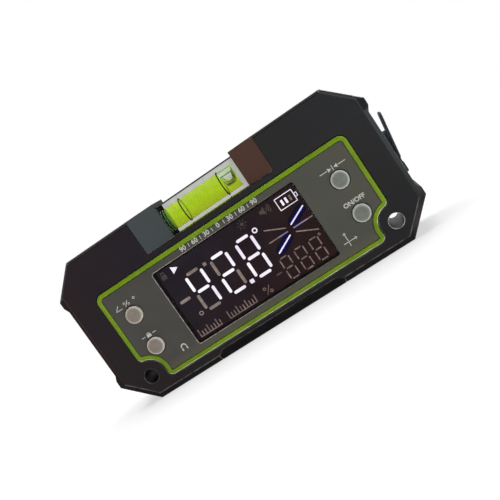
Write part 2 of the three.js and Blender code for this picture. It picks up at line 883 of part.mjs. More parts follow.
function circuitBoard() {
  const half = boardWidth / 2;
  const tongueHalf = socketWidth / 2 + boardTongueMargin;
  const tongueEnd = socketMouth - boardTongueSetback;
  const screwHole = boardScrewDiameter + 2 * seatGap;
  const shape = shapeOf([
    [boardCornerCut - half, boardBottom],
    [half - boardCornerCut, boardBottom],
    [half, boardBottom + boardCornerCut],
    [half, socketCentreHeight - tongueHalf],
    [tongueEnd, socketCentreHeight - tongueHalf],
    [tongueEnd, socketCentreHeight + tongueHalf],
    [half, socketCentreHeight + tongueHalf],
    [half, boardTop],
    [-half, boardTop],
    [-half, boardBottom + boardCornerCut],
  ]);
  return cut(
    alongY(shape, boardFront, boardRear),
    rods(boardScrewPlaces, screwHole, boardFront - overrun, boardRear + overrun),
  );
}

function boardScrew(place) {
  return rearScrew(
    place,
    boardScrewDiameter,
    boardScrewHeadDiameter,
    boardScrewHeadThickness,
    boardScrewTip,
    boardRear + seatGap,
  );
}

function chip([x, z], width, thickness) {
  const half = width / 2;
  const front = boardRear + seatGap;
  return block([x - half, x + half], [front, front + thickness], [z - half, z + half]);
}

function buzzer() {
  const front = boardRear + seatGap;
  const rear = front + buzzerThickness;
  return turnedOnY([
    ...rodProfile(buzzerDiameter, front, rear).slice(0, 3),
    [buzzerPortDiameter / 2, rear],
    [buzzerPortDiameter / 2, rear - buzzerPortDepth],
    [0, rear - buzzerPortDepth],
  ], buzzerPlace, roundSteps);
}

// The charging socket and the rubber flap over it

function chargingSocket() {
  const outline = (sheet) => roundedRectangle(
    socketHeight - 2 * sheet,
    socketWidth - 2 * sheet,
    socketHeight / 2 - sheet - seatGap,
    [seam, socketCentreHeight],
  );
  return alongX(outline(0), socketMouth - socketLength, socketMouth).subtract(
    alongX(outline(socketSheet), socketMouth - socketBore, socketMouth + overrun),
  );
}

function chargingTongue() {
  const back = socketMouth - socketBore + seatGap;
  return block(
    [back, back + tongueLength],
    [seam - tongueThickness / 2, seam + tongueThickness / 2],
    [socketCentreHeight - tongueWidth / 2, socketCentreHeight + tongueWidth / 2],
  );
}

const flapInner = endFace + seatGap;
const flapHingeX = flapInner + flapThickness / 2;

// The flap is drawn shut, about its hinge line
function flapAboutHinge() {
  const radius = flapThickness / 2;
  const half = flapWidth / 2;
  const tip = flapReach - flapTipRadius;
  const face = new THREE.Shape();
  face.moveTo(-half, 0);
  face.lineTo(half, 0);
  face.absarc(half - flapTipRadius, tip, flapTipRadius, 0, Math.PI / 2);
  face.absarc(flapTipRadius - half, tip, flapTipRadius, Math.PI / 2, Math.PI);
  face.closePath();
  const plugMiddle = socketCentreHeight - flapHingeHeight;
  const plug = roundedRectangle(flapPlugWidth, flapPlugLength, flapPlugWidth / 2 - seatGap, [0, plugMiddle]);
  const knuckle = solidOf(new THREE.CylinderGeometry(radius, radius, flapWidth, smallRoundSteps));
  return join([
    alongX(face, -radius, radius),
    knuckle,
    alongX(plug, -radius - flapPlugDepth, 0),
  ]);
}

function flapRoot() {
  const pad = roundedRectangle(flapWidth, flapRootLength, flapThickness, [seam, flapRootMiddle]);
  const peg = rodProfile(flapPegDiameter, innerEnd + seatGap, flapHingeX);
  return alongX(pad, flapInner, flapInner + flapThickness).add(
    turnedOnX(peg, [seam, flapRootMiddle], smallRoundSteps),
  );
}

// The battery

function batteryCell() {
  const shape = roundedRectangle(cellThickness, cellHeight, cellCornerRadius, [
    cellFront + cellThickness / 2,
    cellZ,
  ]);
  return alongX(shape, cellX - cellWidth / 2, cellX + cellWidth / 2);
}

function batteryTape() {
  const halfWidth = cellWidth / 2 - tapeMargin;
  const halfHeight = cellHeight / 2 - tapeMargin;
  const front = rearFace - faceWall - tapeThickness;
  return block(
    [cellX - halfWidth, cellX + halfWidth],
    [front + seatGap, rearFace - faceWall - seatGap],
    [cellZ - halfHeight, cellZ + halfHeight],
  );
}

function batteryConnector() {
  const front = boardRear + seatGap;
  return block(
    [connectorX - connectorWidth / 2, connectorX + connectorWidth / 2],
    [front, front + connectorThickness],
    [connectorZ - connectorHeight / 2, connectorZ + connectorHeight / 2],
  );
}

// A lead leaves the connector's side and runs across to the cell's near edge
function batteryLead(offset) {
  const cellEdge = cellX - cellWidth / 2 - runningGap;
  const plugEdge = connectorX + connectorWidth / 2 + runningGap;
  const plugY = boardRear + seatGap + connectorThickness / 2;
  const cellY = cellFront + cellThickness / 2;
  const bend = (cellEdge - plugEdge) / 2;
  const path = new THREE.CubicBezierCurve3(
    new THREE.Vector3(plugEdge, plugY, connectorZ + offset),
    new THREE.Vector3(plugEdge + bend, plugY, connectorZ + offset),
    new THREE.Vector3(cellEdge - bend, cellY, cellZ - leadCellDrop + offset),
    new THREE.Vector3(cellEdge, cellY, cellZ - leadCellDrop + offset),
  );
  const section = new THREE.Shape().absarc(0, 0, leadDiameter / 2, 0, 2 * Math.PI);
  return solidOf(new THREE.ExtrudeGeometry(section, {
    extrudePath: path,
    steps: leadSteps,
    curveSegments: leadSides,
    bevelEnabled: false,
  }));
}

// The vial

function vialBlock() {
  const half = vialSection / 2;
  const end = vialLength / 2;
  const bore = rodProfile(boreDiameter, -end - overrun, boreRight);
  const groove = boreDiameter + 2 * (ringDepth + seatGap);
  const grooveHalf = ringWidth / 2 + seatGap;
  return cut(block([-end, end], [-half, half], [vialBottom, vialTop]), [
    turnedOnX(bore, [0, vialAxis]),
    ...ringPlaces.map((x) => turnedOnX(
      rodProfile(groove, x - grooveHalf, x + grooveHalf),
      [0, vialAxis],
    )),
  ]);
}

function vialFluid() {
  const profile = rodProfile(boreDiameter - 2 * seatGap, boreLeft, boreRight - seatGap);
  const bubble = new THREE.SphereGeometry(1, smallRoundSteps, smallRoundSteps / 2);
  bubble.scale(bubbleLength / 2, bubbleWidth / 2, bubbleHeight / 2);
  const bubbleTop = vialAxis + boreDiameter / 2 - seatGap + bubbleCrown;
  bubble.translate(boreRight - bubbleEndGap - bubbleLength / 2, 0, bubbleTop - bubbleHeight / 2);
  return turnedOnX(profile, [0, vialAxis]).subtract(solidOf(bubble));
}

function vialPlug() {
  const profile = rodProfile(boreDiameter - 2 * seatGap, -vialLength / 2, boreLeft - seatGap);
  return turnedOnX(profile, [0, vialAxis]);
}

function vialRing(x) {
  const inner = boreDiameter / 2;
  const outer = inner + ringDepth;
  return turnedOnX([
    [inner, x - ringWidth / 2],
    [outer, x - ringWidth / 2],
    [outer, x + ringWidth / 2],
    [inner, x + ringWidth / 2],
    [inner, x - ringWidth / 2],
  ], [0, vialAxis]);
}

// The base plate, its magnets and its screws

function tabBlock(side) {
  const outer = side * (bodyDepth / 2 - tabSetback);
  const lower = side * (bodyDepth / 2 - bevelDepth);
  const inner = side * (basePlateDepth / 2 - overrun);
  const section = shapeOf([
    [inner, 0],
    [lower, 0],
    [outer, baseBevel],
    [outer, tabHeight],
    [inner, tabHeight],
  ]);
  const half = tabWidth / 2 + tabRampWidth;
  return alongX(section, -half, half).intersect(alongY(tabOutline(0), frontFace, rearFace));
}

const magnetPlaces = Array.from(
  { length: magnetCount },
  (_, i) => [(i - (magnetCount - 1) / 2) * magnetSpacing, 0],
);
const baseScrewPlaces = {
  front_left: [-baseScrewX, -baseScrewY],
  front_right: [baseScrewX, -baseScrewY],
  rear_left: [-baseScrewX, baseScrewY],
  rear_right: [baseScrewX, baseScrewY],
};

function countersunkProfile(radius, headRadius, head, from, to) {
  return [[0, from], [headRadius, from], [radius, from + head], [radius, to], [0, to]];
}

function basePlate() {
  const half = basePlateWidth / 2;
  const halfDepth = basePlateDepth / 2;
  const plate = block([-half, half], [-halfDepth, halfDepth], [0, basePlateThickness]);
  const magnetHole = [
    [0, -overrun],
    [magnetDiameter / 2 + seatGap, -overrun],
    [magnetDiameter / 2 + seatGap, magnetThickness + 2 * seatGap],
    [0, magnetThickness + 2 * seatGap],
  ];
  const headRadius = baseScrewHeadDiameter / 2 + seatGap;
  const countersink = countersunkProfile(
    baseScrewDiameter / 2 + seatGap,
    headRadius,
    baseScrewHeadThickness,
    0,
    basePlateThickness + overrun,
  );
  const screwHole = [[0, -overrun], [headRadius, -overrun], ...countersink.slice(1)];
  return cut(join([plate, tabBlock(-1), tabBlock(1)]), [
    ...magnetPlaces.map((place) => turnedOnZ(magnetHole, place, roundSteps)),
    ...Object.values(baseScrewPlaces).map((place) => turnedOnZ(screwHole, place)),
  ]);
}

function baseMagnet(place) {
  return turnedOnZ(rodProfile(magnetDiameter, seatGap, seatGap + magnetThickness), place, roundSteps);
}

function baseScrew(place) {
  return turnedOnZ(countersunkProfile(
    baseScrewDiameter / 2,
    baseScrewHeadDiameter / 2,
    baseScrewHeadThickness,
    seatGap,
    baseBossHeight - baseScrewTipGap,
  ), place);
}

// Materials and the finished group

function material(color, roughness, metalness = 0, opacity = 1) {
  return new THREE.MeshStandardMaterial({
    color,
    roughness,
    metalness,
    opacity,
    transparent: opacity < 1,
    flatShading: true,
  });
}

const blackPlastic = { color: '#2b292b', roughness: 0.5 };
const screwSteel = { color: '#6d6f72', roughness: 0.35, metalness: 1 };
const gauge = new THREE.Group();

function place(name, solid, { color, roughness, metalness, opacity }, parent = gauge) {
  const mesh = new THREE.Mesh(geometryOf(solid), material(color, roughness, metalness, opacity));
  mesh.name = name;
  parent.add(mesh);
}

place('front_housing', frontHousing(), blackPlastic);
place('rear_housing', rearHousing(), blackPlastic);
for (const [name, spot] of Object.entries(casingScrewPlaces)) {
  place(`housing_screw_${name}`, casingScrew(spot), screwSteel);
}
place('panel_frame', panelFrame(), { color: '#7ea81a', roughness: 0.35 });
place('panel_plate', panelPlate(), { color: '#55544c', roughness: 0.6 });
place('display_window', displayWindow(), { color: '#1c1418', roughness: 0.1, opacity: 0.6 });
place('display_gasket', displayGasket(), { color: '#1d1d1d', roughness: 0.95 });
place('display_glass', displayGlass(), { color: '#2b1d1f', roughness: 0.1 });
place('display_backlight', displayBacklight(), { color: '#e8e8e2', roughness: 0.4 });
place('display_holder', displayHolder(), { color: '#e6e4dc', roughness: 0.5 });
place('display_contact_strip', contactStrip(), { color: '#c9c2b4', roughness: 0.9 });
place('circuit_board', circuitBoard(), { color: '#1d5a34', roughness: 0.4 });
for (const [name, spot] of Object.entries(boardScrewPlaces)) {
  place(`board_screw_${name}`, boardScrew(spot), screwSteel);
}
place('microcontroller', chip(controllerPlace, controllerWidth, controllerThickness), {
  color: '#1a1a1b',
  roughness: 0.5,
});
place('tilt_sensor', chip(tiltSensorPlace, tiltSensorWidth, tiltSensorThickness), {
  color: '#26282b',
  roughness: 0.35,
});
place('buzzer', buzzer(), { color: '#111111', roughness: 0.45 });

for (const [name, spot] of Object.entries(buttonPlaces)) {
  place(`${name}_button`, buttonCap(spot), { color: '#a8a59d', roughness: 0.4 });
  place(`${name}_plunger`, switchPlunger(spot), { color: '#c8c4b8', roughness: 0.5 });
  place(`${name}_switch`, pushSwitch(spot), { color: '#1b1b1c', roughness: 0.45 });
}

place('charging_socket', chargingSocket(), { color: '#c4c6c8', roughness: 0.25, metalness: 1 });
place('charging_tongue', chargingTongue(), { color: '#141414', roughness: 0.5 });
place('port_flap_root', flapRoot(), { color: '#1f1f20', roughness: 0.8 });

const flapHinge = new THREE.Group();
flapHinge.position.set(flapHingeX, seam, flapHingeHeight);
flapHinge.rotation.y = THREE.MathUtils.degToRad(flapRestAngle);
gauge.add(flapHinge);
place('port_flap', flapAboutHinge(), { color: '#1f1f20', roughness: 0.8 }, flapHinge);

place('battery_cell', batteryCell(), { color: '#b9bcc0', roughness: 0.35, metalness: 0.6 });
place('battery_tape', batteryTape(), { color: '#d8d8d2', roughness: 0.9 });
place('battery_connector', batteryConnector(), { color: '#e9e6da', roughness: 0.5 });
place('battery_lead_plus', batteryLead(leadSpacing / 2), { color: '#b02020', roughness: 0.5 });
place('battery_lead_minus', batteryLead(-leadSpacing / 2), { color: '#151515', roughness: 0.5 });

place('vial_block', vialBlock(), { color: '#e9eee6', roughness: 0.08, opacity: 0.3 });
place('vial_fluid', vialFluid(), { color: '#a4cc1c', roughness: 0.1, opacity: 0.8 });
place('vial_plug', vialPlug(), { color: '#1d5a2c', roughness: 0.4 });
place('vial_ring_left', vialRing(ringPlaces[0]), { color: '#101010', roughness: 0.6 });
place('vial_ring_right', vialRing(ringPlaces[1]), { color: '#101010', roughness: 0.6 });

place('base_plate', basePlate(), { color: '#26282a', roughness: 0.35, metalness: 0.8 });
magnetPlaces.forEach((spot, i) => {
  place(`base_magnet_${i + 1}`, baseMagnet(spot), { color: '#c9ccce', roughness: 0.2, metalness: 1 });
});
for (const [name, spot] of Object.entries(baseScrewPlaces)) {
  place(`base_screw_${name}`, baseScrew(spot), screwSteel);
}

export default gauge;
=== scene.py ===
from math import atan2, cos, hypot, pi, radians, sin, sqrt, tan
import bmesh
import bpy
from mathutils import Matrix, Vector
from mathutils.geometry import tessellate_polygon


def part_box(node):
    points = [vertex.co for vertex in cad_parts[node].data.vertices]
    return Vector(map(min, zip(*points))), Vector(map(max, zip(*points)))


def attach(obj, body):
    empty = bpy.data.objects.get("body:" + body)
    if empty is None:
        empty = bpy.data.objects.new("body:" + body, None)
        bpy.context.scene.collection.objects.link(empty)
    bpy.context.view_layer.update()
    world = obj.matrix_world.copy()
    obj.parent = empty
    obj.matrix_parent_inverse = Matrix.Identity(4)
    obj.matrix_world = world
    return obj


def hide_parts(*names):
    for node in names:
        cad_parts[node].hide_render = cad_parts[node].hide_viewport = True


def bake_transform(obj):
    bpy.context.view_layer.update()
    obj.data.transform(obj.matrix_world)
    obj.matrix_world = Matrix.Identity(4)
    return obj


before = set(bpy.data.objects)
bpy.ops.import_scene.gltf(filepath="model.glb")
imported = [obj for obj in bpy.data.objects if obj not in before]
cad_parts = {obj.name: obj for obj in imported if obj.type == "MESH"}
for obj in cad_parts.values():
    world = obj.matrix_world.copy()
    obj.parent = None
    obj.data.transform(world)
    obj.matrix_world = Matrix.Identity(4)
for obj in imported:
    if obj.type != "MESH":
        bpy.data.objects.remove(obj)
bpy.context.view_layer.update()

scene = bpy.context.scene
scene.view_settings.view_transform = "Standard"
mm = 0.001
print("frame loaded:", len(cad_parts), "nodes")


def boxOf(node):  # lowest corner, highest corner and middle, in millimetres
    low, high = (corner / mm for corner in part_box(node))
    return low, high, (low + high) / 2


# Node helpers

def hexColour(text):  # sRGB hex to linear
    channels = [int(text[i:i + 2], 16) / 255 for i in (1, 3, 5)]
    return [c / 12.92 if c <= 0.04045 else ((c + 0.055) / 1.055) ** 2.4 for c in channels] + [1.0]


def addNode(tree, kind, feeds=(), out=0, **settings):  # feeds: a value, a hex colour or a link for each input
    node = tree.nodes.new("ShaderNode" + kind)
    for name, value in settings.items():
        setattr(node, name, value)
    for socket, value in (feeds if isinstance(feeds, dict) else dict(enumerate(feeds))).items():
        if isinstance(value, bpy.types.NodeSocket):
            tree.links.new(value, node.inputs[socket])
        else:
            node.inputs[socket].default_value = hexColour(value) if isinstance(value, str) else value
    return node.outputs[out] if node.outputs else None


def newMaterial(name):
    material = bpy.data.materials.new(name)
    material.use_nodes = True
    material.node_tree.nodes.clear()
    return material, material.node_tree


def along(tree, axis, start, end, low=0, high=1):  # from low to high between two places in millimetres
    place = addNode(tree, "SeparateXYZ", [addNode(tree, "TexCoord", out="Object")], axis)
    return addNode(tree, "MapRange", (place, start * mm, end * mm, low, high))


noiseSpan = (0.35, 0.65)  # where nearly all of a noise's values lie


def patches(tree, size, low=0, high=1, detail=2.0):  # from low to high in patches of that size in millimetres
    place = addNode(tree, "TexCoord", out="Object")
    noise = addNode(tree, "TexNoise", {"Vector": place, "Scale": 1 / (size * mm), "Detail": detail})
    return addNode(tree, "MapRange", (noise, *noiseSpan, low, high))


def layered(tree, colour, *layers):  # paints tones over a colour, each as far as its mask says
    for mask, tone in layers:
        colour = addNode(tree, "Mix", {0: mask, 6: colour, 7: tone}, 2, data_type="RGBA")
    return colour


def mottled(tree, colours, size, detail=2.0):  # blotches of two colours
    return layered(tree, colours[0], (patches(tree, size, detail=detail), colours[1]))


def edgeMask(tree, width):  # 1 along outer edges, 0 on flats
    bevelled = addNode(tree, "Bevel", {"Radius": width * mm}, samples=8)
    flat = addNode(tree, "NewGeometry", out="Normal")
    facing = addNode(tree, "VectorMath", (bevelled, flat), "Value", operation="DOT_PRODUCT")
    return addNode(tree, "MapRange", (facing, 0.99, 0.9, 0, 1))


# Sizes are in millimetres. right: both tones at the right end. low: the tone near the base and its reach.
# worn: a lighter tone along outer edges, the size of its patches and its width.
# rim: the tones of a painted highlight at a cap's edge.
def finish(name, tone, shade, blotch, grain, relief, roughness, ior=1.5, metallic=0.0, sheen=0.0,
           stretch=(1, 1, 1), right=None, low=None, worn=None, rim=None):
    material, tree = newMaterial(name)
    blotches = patches(tree, blotch, detail=3)
    colour = layered(tree, tone, (blotches, shade))
    if right:
        atRight = along(tree, "X", -30, 30)
        colour = layered(tree, colour, (atRight, layered(tree, right[0], (blotches, right[1]))))
    if low:
        colour = layered(tree, colour, (along(tree, "Z", low[1], low[2], 1, 0), low[0]))
    if worn:
        # lighter outer edges: a painted highlight on the green frame, brighter drive edges on the screws
        broken = patches(tree, worn[1], 0.15, 1, 4)
        edges = edgeMask(tree, worn[2])
        rubbed = addNode(tree, "Math", (edges, broken), operation="MULTIPLY", use_clamp=True)
        colour = layered(tree, colour, (rubbed, worn[0]))
    if rim:
        atRim = addNode(tree, "Attribute", out="Fac", attribute_name="rim")
        colour = layered(tree, colour, (atRim, layered(tree, rim[0], (atRight, rim[1]))))
    place = addNode(tree, "TexCoord", out="Object")
    if stretch != (1, 1, 1):
        place = addNode(tree, "Mapping", {"Vector": place, "Scale": stretch})
    texture = addNode(tree, "TexNoise", {"Vector": place, "Scale": 1 / (grain * mm), "Detail": 3})
    surface = addNode(tree, "BsdfPrincipled", {
        "Base Color": colour, "Roughness": addNode(tree, "MapRange", (texture, *noiseSpan, *roughness)),
        "Normal": addNode(tree, "Bump", {"Height": texture, "Distance": relief * mm}),
        "IOR": ior, "Metallic": metallic, "Sheen Weight": sheen,
    })
    addNode(tree, "OutputMaterial", [surface])
    return material


def glowing(name, colours, strength, size):  # an even light with a faint mottle, for lit figures
    material, tree = newMaterial(name)
    light = addNode(tree, "Emission", {"Color": mottled(tree, colours, size), "Strength": strength})
    addNode(tree, "OutputMaterial", [light])
    return material


# Mesh helpers: points are in millimetres until they become vertices

def faceY(a, b, depth):
    return (a * mm, depth * mm, b * mm)


def faceX(a, b, depth):
    return (depth * mm, a * mm, b * mm)


def faceZ(a, b, depth):
    return (a * mm, b * mm, depth * mm)


# A loop is a function that gives an outline drawn in by an inset

def arc(centre, radius, start, end, steps):
    turns = [start + (end - start) * i / steps for i in range(steps + 1)]
    return [(centre[0] + radius * cos(t), centre[1] + radius * sin(t)) for t in turns]


def rounded(width, height, radius, centre=(0, 0), steps=8):
    def loop(inset):
        corner = max(radius - inset, 0.01)
        points = []
        for quarter, (sideA, sideB) in enumerate(((1, 1), (-1, 1), (-1, -1), (1, -1))):
            middle = (centre[0] + sideA * (width / 2 - inset - corner),
                      centre[1] + sideB * (height / 2 - inset - corner))
            points += arc(middle, corner, pi / 2 * quarter, pi / 2 * (quarter + 1), steps)
        return points
    return loop


def circle(diameter, centre=(0, 0), steps=64):
    return lambda inset: arc(centre, diameter / 2 - inset, 0, 2 * pi, steps)[:-1]


def stroke(start, end, width, steps=5):  # a line with round ends
    def loop(inset):
        heading, radius = atan2(end[1] - start[1], end[0] - start[0]), width / 2 - inset
        return (arc(end, radius, heading - pi / 2, heading + pi / 2, steps)
                + arc(start, radius, heading + pi / 2, heading + 3 * pi / 2, steps))
    return loop


def polygon(*points):
    return lambda inset: list(points)


def bow(centre, outer, inner, start, end, steps):  # part of a ring
    return polygon(*arc(centre, outer, start, end, steps), *arc(centre, inner, end, start, steps))


def hole(loop):
    return lambda inset: loop(-inset)


def ring(centre, outer, inner):
    return [circle(2 * outer, centre, 24), hole(circle(2 * inner, centre, 24))]


def roundFront(front, radius, steps=4):  # a rounded front edge as (inset, depth)
    turns = [pi / 2 * i / steps for i in range(steps + 1)]
    return [(radius * (1 - sin(t)), front + radius * (1 - cos(t))) for t in turns]


def chamfered(front, back, edge):  # both edges cut off, as (inset, depth)
    return [(edge, front), (0, front + edge), (0, back - edge), (edge, back)]


def ringsOf(bm, loop, profile, place=faceY):
    return [[bm.verts.new(place(a, b, depth)) for a, b in loop(inset)] for inset, depth in profile]


def joined(bm, near, far):  # a band of faces between two rings
    count = len(near)
    turns = [(i, (i + 1) % count) for i in range(count)]
    return [bm.faces.new((near[i], near[j], far[j], far[i])) for i, j in turns]


def addPlate(loops, profile, place=faceY, index=0, bm=None):  # the profile is (inset, depth), front to back
    bm = bmesh.new() if bm is None else bm
    sides = [ringsOf(bm, loop, profile, place) for loop in loops]
    for rings in sides:
        for near, far in zip(rings, rings[1:]):
            for face in joined(bm, near, far):
                face.material_index = index
    for end in (0, -1):
        flat = [[Vector((a, b, 0)) for a, b in loop(profile[end][0])] for loop in loops]
        corners = [vertex for rings in sides for vertex in rings[end]]
        for triangle in tessellate_polygon(flat):
            bm.faces.new([corners[i] for i in triangle]).material_index = index
    return bm


def addTurned(profile, centre, place=faceY, steps=64, bm=None):  # the profile is (radius, depth)
    bm = bmesh.new() if bm is None else bm
    rings = []
    for radius, depth in profile:
        points = arc(centre, radius, 0, 2 * pi, steps)[:steps if radius else 1]
        rings.append([bm.verts.new(place(a, b, depth)) for a, b in points])
    for near, far in zip(rings, rings[1:]):
        for i in range(steps):
            j = (i + 1) % steps
            corners = [near[i % len(near)], near[j % len(near)], far[j % len(far)], far[i % len(far)]]
            bm.faces.new(list(dict.fromkeys(corners)))
    return bm


def centreOf(face):
    return face.calc_center_median() / mm


def toMesh(name, bm, sharp=40):  # smooth shading, sharp past that angle
    bmesh.ops.recalc_face_normals(bm, faces=bm.faces[:])
    for face in bm.faces:
        face.smooth = True
    for edge in bm.edges:
        edge.smooth = edge.is_manifold and edge.calc_face_angle() < radians(sharp)
    mesh = bpy.data.meshes.new(name)
    bm.to_mesh(mesh)
    bm.free()
    return mesh


def addPiece(name, shape, materials, body="housing", replaced=(), sharp=40):
    mesh = toMesh(name, shape, sharp) if isinstance(shape, bmesh.types.BMesh) else shape
    for material in materials:
        mesh.materials.append(material)
    piece = bpy.data.objects.new(name, mesh)
    scene.collection.objects.link(piece)
    piece.modifiers.new("even_normals", "WEIGHTED_NORMAL").keep_sharp = True
    if body:
        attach(piece, body)
    if replaced:
        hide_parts(*replaced)
    return piece


def evaluated(thing):
    return bpy.data.meshes.new_from_object(thing.evaluated_get(bpy.context.evaluated_depsgraph_get()))


def cutMesh(mesh, cutter, operation="DIFFERENCE"):
    whole = bpy.data.objects.new("whole", mesh)
    tool = bpy.data.objects.new("tool", cutter)
    for thing in (whole, tool):
        scene.collection.objects.link(thing)
    modifier = whole.modifiers.new("cut", "BOOLEAN")
    modifier.object = tool
    modifier.operation = operation
    left = evaluated(whole)
    for thing in (whole, tool):
        bpy.data.objects.remove(thing)
    return left


def bmeshOf(mesh):
    bm = bmesh.new()
    bm.from_mesh(mesh)
    return bm


roundEdge = 2  # the number of the finish on the edges that softened() rounds


def softened(node, width, outside):  # a node's mesh with its outer edges rounded
    bm = bmeshOf(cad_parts[node].data)
    bmesh.ops.remove_doubles(bm, verts=bm.verts[:], dist=1e-6)
    bmesh.ops.dissolve_limit(bm, angle_limit=radians(1), verts=bm.verts[:], edges=bm.edges[:])
    for face in bm.faces:
        face.material_index = 0
    edges = [
        edge for edge in bm.edges
        if edge.calc_face_angle() > radians(22)
        and outside((edge.verts[0].co + edge.verts[1].co) / 2 / mm)
    ]
    bevelled = bmesh.ops.bevel(
        bm, geom=edges, offset=width * mm, segments=2, profile=0.5,
        affect="EDGES", clamp_overlap=False, miter_outer="ARC",
    )
    for face in bevelled["faces"]:
        face.material_index = roundEdge
    low, high, _ = boxOf(node)
    for vertex in bm.verts:      # a corner where round edges meet may stand out by a hair
        vertex.co = [min(max(c, a * mm), b * mm) for c, a, b in zip(vertex.co, low, high)]
    return bm


# Camera, turned as in the photograph: the gauge stands on its base and the camera is rolled

cameraView = {
    "lens": 54.0,
    "sensor": 36.0,
    "azimuth": 10.827,
    "elevation": 5.786,
    "roll": -34.305,
    "place": Vector((53.833, -270.025, 54.914)),
}


def placeCamera(view):
    azimuth, elevation, roll = (radians(view[key]) for key in ("azimuth", "elevation", "roll"))
    ahead = Vector((-sin(azimuth) * cos(elevation), cos(azimuth) * cos(elevation), -sin(elevation)))
    level = ahead.cross(Vector((0, 0, 1))).normalized()
    right = level * cos(roll) + level.cross(ahead) * sin(roll)
    data = bpy.data.cameras.new("camera")
    data.lens = view["lens"]
    data.sensor_width = view["sensor"]
    data.clip_start = 0.01
    data.clip_end = 20
    camera = bpy.data.objects.new("camera", data)
    camera.matrix_world = Matrix((right, right.cross(ahead), -ahead)).transposed().to_4x4()
    camera.location = view["place"] * mm
    scene.collection.objects.link(camera)
    scene.camera = camera


placeCamera(cameraView)

# Studio: white for the eye and through clear pieces, while gloss sees dim walls with a few panels

studio = {
    "even": 0.24,            # what lights the gauge from all sides
    "wall": 0.1,             # what its gloss shows in front
    "sky": 0.14,             # and overhead
    "skyRise": (0.1, 0.8),
    "panels": {              # direction, colour, strength, and where it starts and is full, as a cosine
        "back": ((0, 1, 0), "#ffffff", 0.4, 0.1, 0.5),
        "left": ((-1, -0.08, -0.05), "#f4ece6", 0.25, 0.93, 0.975),
        "corner": ((0.64, -0.18, 0.73), "#d8f0f0", 1.4, 0.95, 0.985),
        "brown": ((-0.85, -0.53, 0.05), "#dc9a78", 2.0, 0.9, 0.97),
        "slate": ((0.6, -0.79, 0.05), "#a9bcbc", 2.8, 0.86, 0.97),
        "low": ((0.55, -0.42, -0.72), "#fff6ee", 1.2, 0.95, 0.985),
    },
    "floorSize": 3000,
    "floorFade": (110, 380),
    "floorFadeFrom": 0.6,
    "floorLevel": (0.9, 0.93),
    "floorFibre": 1.2,
}
black, white = "#000000", "#ffffff"


def buildWorld(look):
    world = bpy.data.worlds.new("studio")
    scene.world = world
    world.use_nodes = True
    tree = world.node_tree
    tree.nodes.clear()
    rays = addNode(tree, "LightPath").node.outputs
    way = addNode(tree, "TexCoord", out="Generated")
    height = addNode(tree, "SeparateXYZ", [way], "Z")
    walls = addNode(tree, "MapRange", (height, *look["skyRise"], look["wall"], look["sky"]))
    colour = layered(tree, black, (walls, white))
    for side, tint, strength, start, full in look["panels"].values():
        side = Vector(side).normalized()
        facing = addNode(tree, "VectorMath", (way, side), "Value", operation="DOT_PRODUCT")
        patch = addNode(tree, "MapRange", (facing, start, full, 0, strength))
        light = addNode(tree, "VectorMath", {0: hexColour(tint)[:3], "Scale": patch}, operation="SCALE")
        colour = addNode(tree, "VectorMath", (colour, light), operation="ADD")
    lighting = layered(tree, [look["even"]] * 3 + [1], (rays["Is Glossy Ray"], colour))
    eyeRays = (rays["Is Camera Ray"], rays["Is Transmission Ray"])
    seen = addNode(tree, "Math", eyeRays, operation="MAXIMUM", use_clamp=True)
    shown = layered(tree, lighting, (seen, white))
    addNode(tree, "OutputWorld", [addNode(tree, "Background", {"Color": shown, "Strength": 1.0})])


def buildFloor(look):
    material, tree = newMaterial("paper_floor_seamless")  # pale paper that fades into the white behind
    near, far = look["floorFade"]
    place = addNode(tree, "TexCoord", out="Object")
    away = addNode(tree, "VectorMath", [place], "Value", operation="LENGTH")
    fade = addNode(tree, "MapRange", (away, near * mm, far * mm, look["floorFadeFrom"], 1))
    fibre = patches(tree, look["floorFibre"], *look["floorLevel"], 3)
    paper = addNode(tree, "BsdfDiffuse", {"Color": layered(tree, black, (fibre, white))})
    backdrop = addNode(tree, "Emission", {"Color": white, "Strength": 1.0})
    addNode(tree, "OutputMaterial", [addNode(tree, "MixShader", (fade, paper, backdrop))])
    mesh = toMesh("floor", addPlate([circle(look["floorSize"])], [(0, 0), (0, -1)], faceZ))
    mesh.materials.append(material)
    floor = bpy.data.objects.new("floor", mesh)
    floor.visible_glossy = False
    scene.collection.objects.link(floor)


def addLight(name, place, size, power, aim=(0, 0, 30), tint="#ffffff", mirrored=True):
    data = bpy.data.lights.new(name, "AREA")
    data.shape = "RECTANGLE"
    data.size, data.size_y = (side * mm for side in size)
    data.energy = power
    data.color = hexColour(tint)[:3]
    light = bpy.data.objects.new(name, data)
    light.location = Vector(place) * mm
    light.rotation_euler = (Vector(aim) - Vector(place)).to_track_quat("-Z", "Y").to_euler()
    light.visible_camera = False
    light.visible_glossy = light.visible_transmission = mirrored
    scene.collection.objects.link(light)


buildWorld(studio)
buildFloor(studio)
addLight("overhead", (0, 120, 640), (800, 520), 6.5, mirrored=False)
addLight("front_right", (420, -420, 300), (300, 300), 0.5, tint="#f2fbff")
print("camera and studio placed")

# Casings: copies of the CAD shells with their moulded edges rounded

casing = {
    "edge": 0.22,
    "cavityHalf": (62.5, 10.15),     # edges inside this box stay as they are
    "cavityHeights": (4.9, 45.45),
    "pocketFloor": 47.2,
    "pocketSplay": (16.4, 27.2),
    "fixingHole": (52.5, 9.2, 3.05),  # across, up, and a radius that takes in its rim
    "bevelBack": -11.2,
    "bevelLean": (-0.97, -0.6),      # how far the normal of a front bevel points to the front
    "innerEdge": -12.2,              # the edge between the front face and its bevel lies before this
    "waist": 16.0,                   # above it that edge is no lighter than the bevel
    "shoulder": (54.9, 62.0, 50.0),  # between these and above this height the outer edge takes a painted highlight
    "shadedBevelAbove": 46.6,            # where the glossy bevel of the right end ends
    "windowSeat": (46, 6, 44, -11.3, -9.9),  # half width, heights and depths that hold the window's seat
}

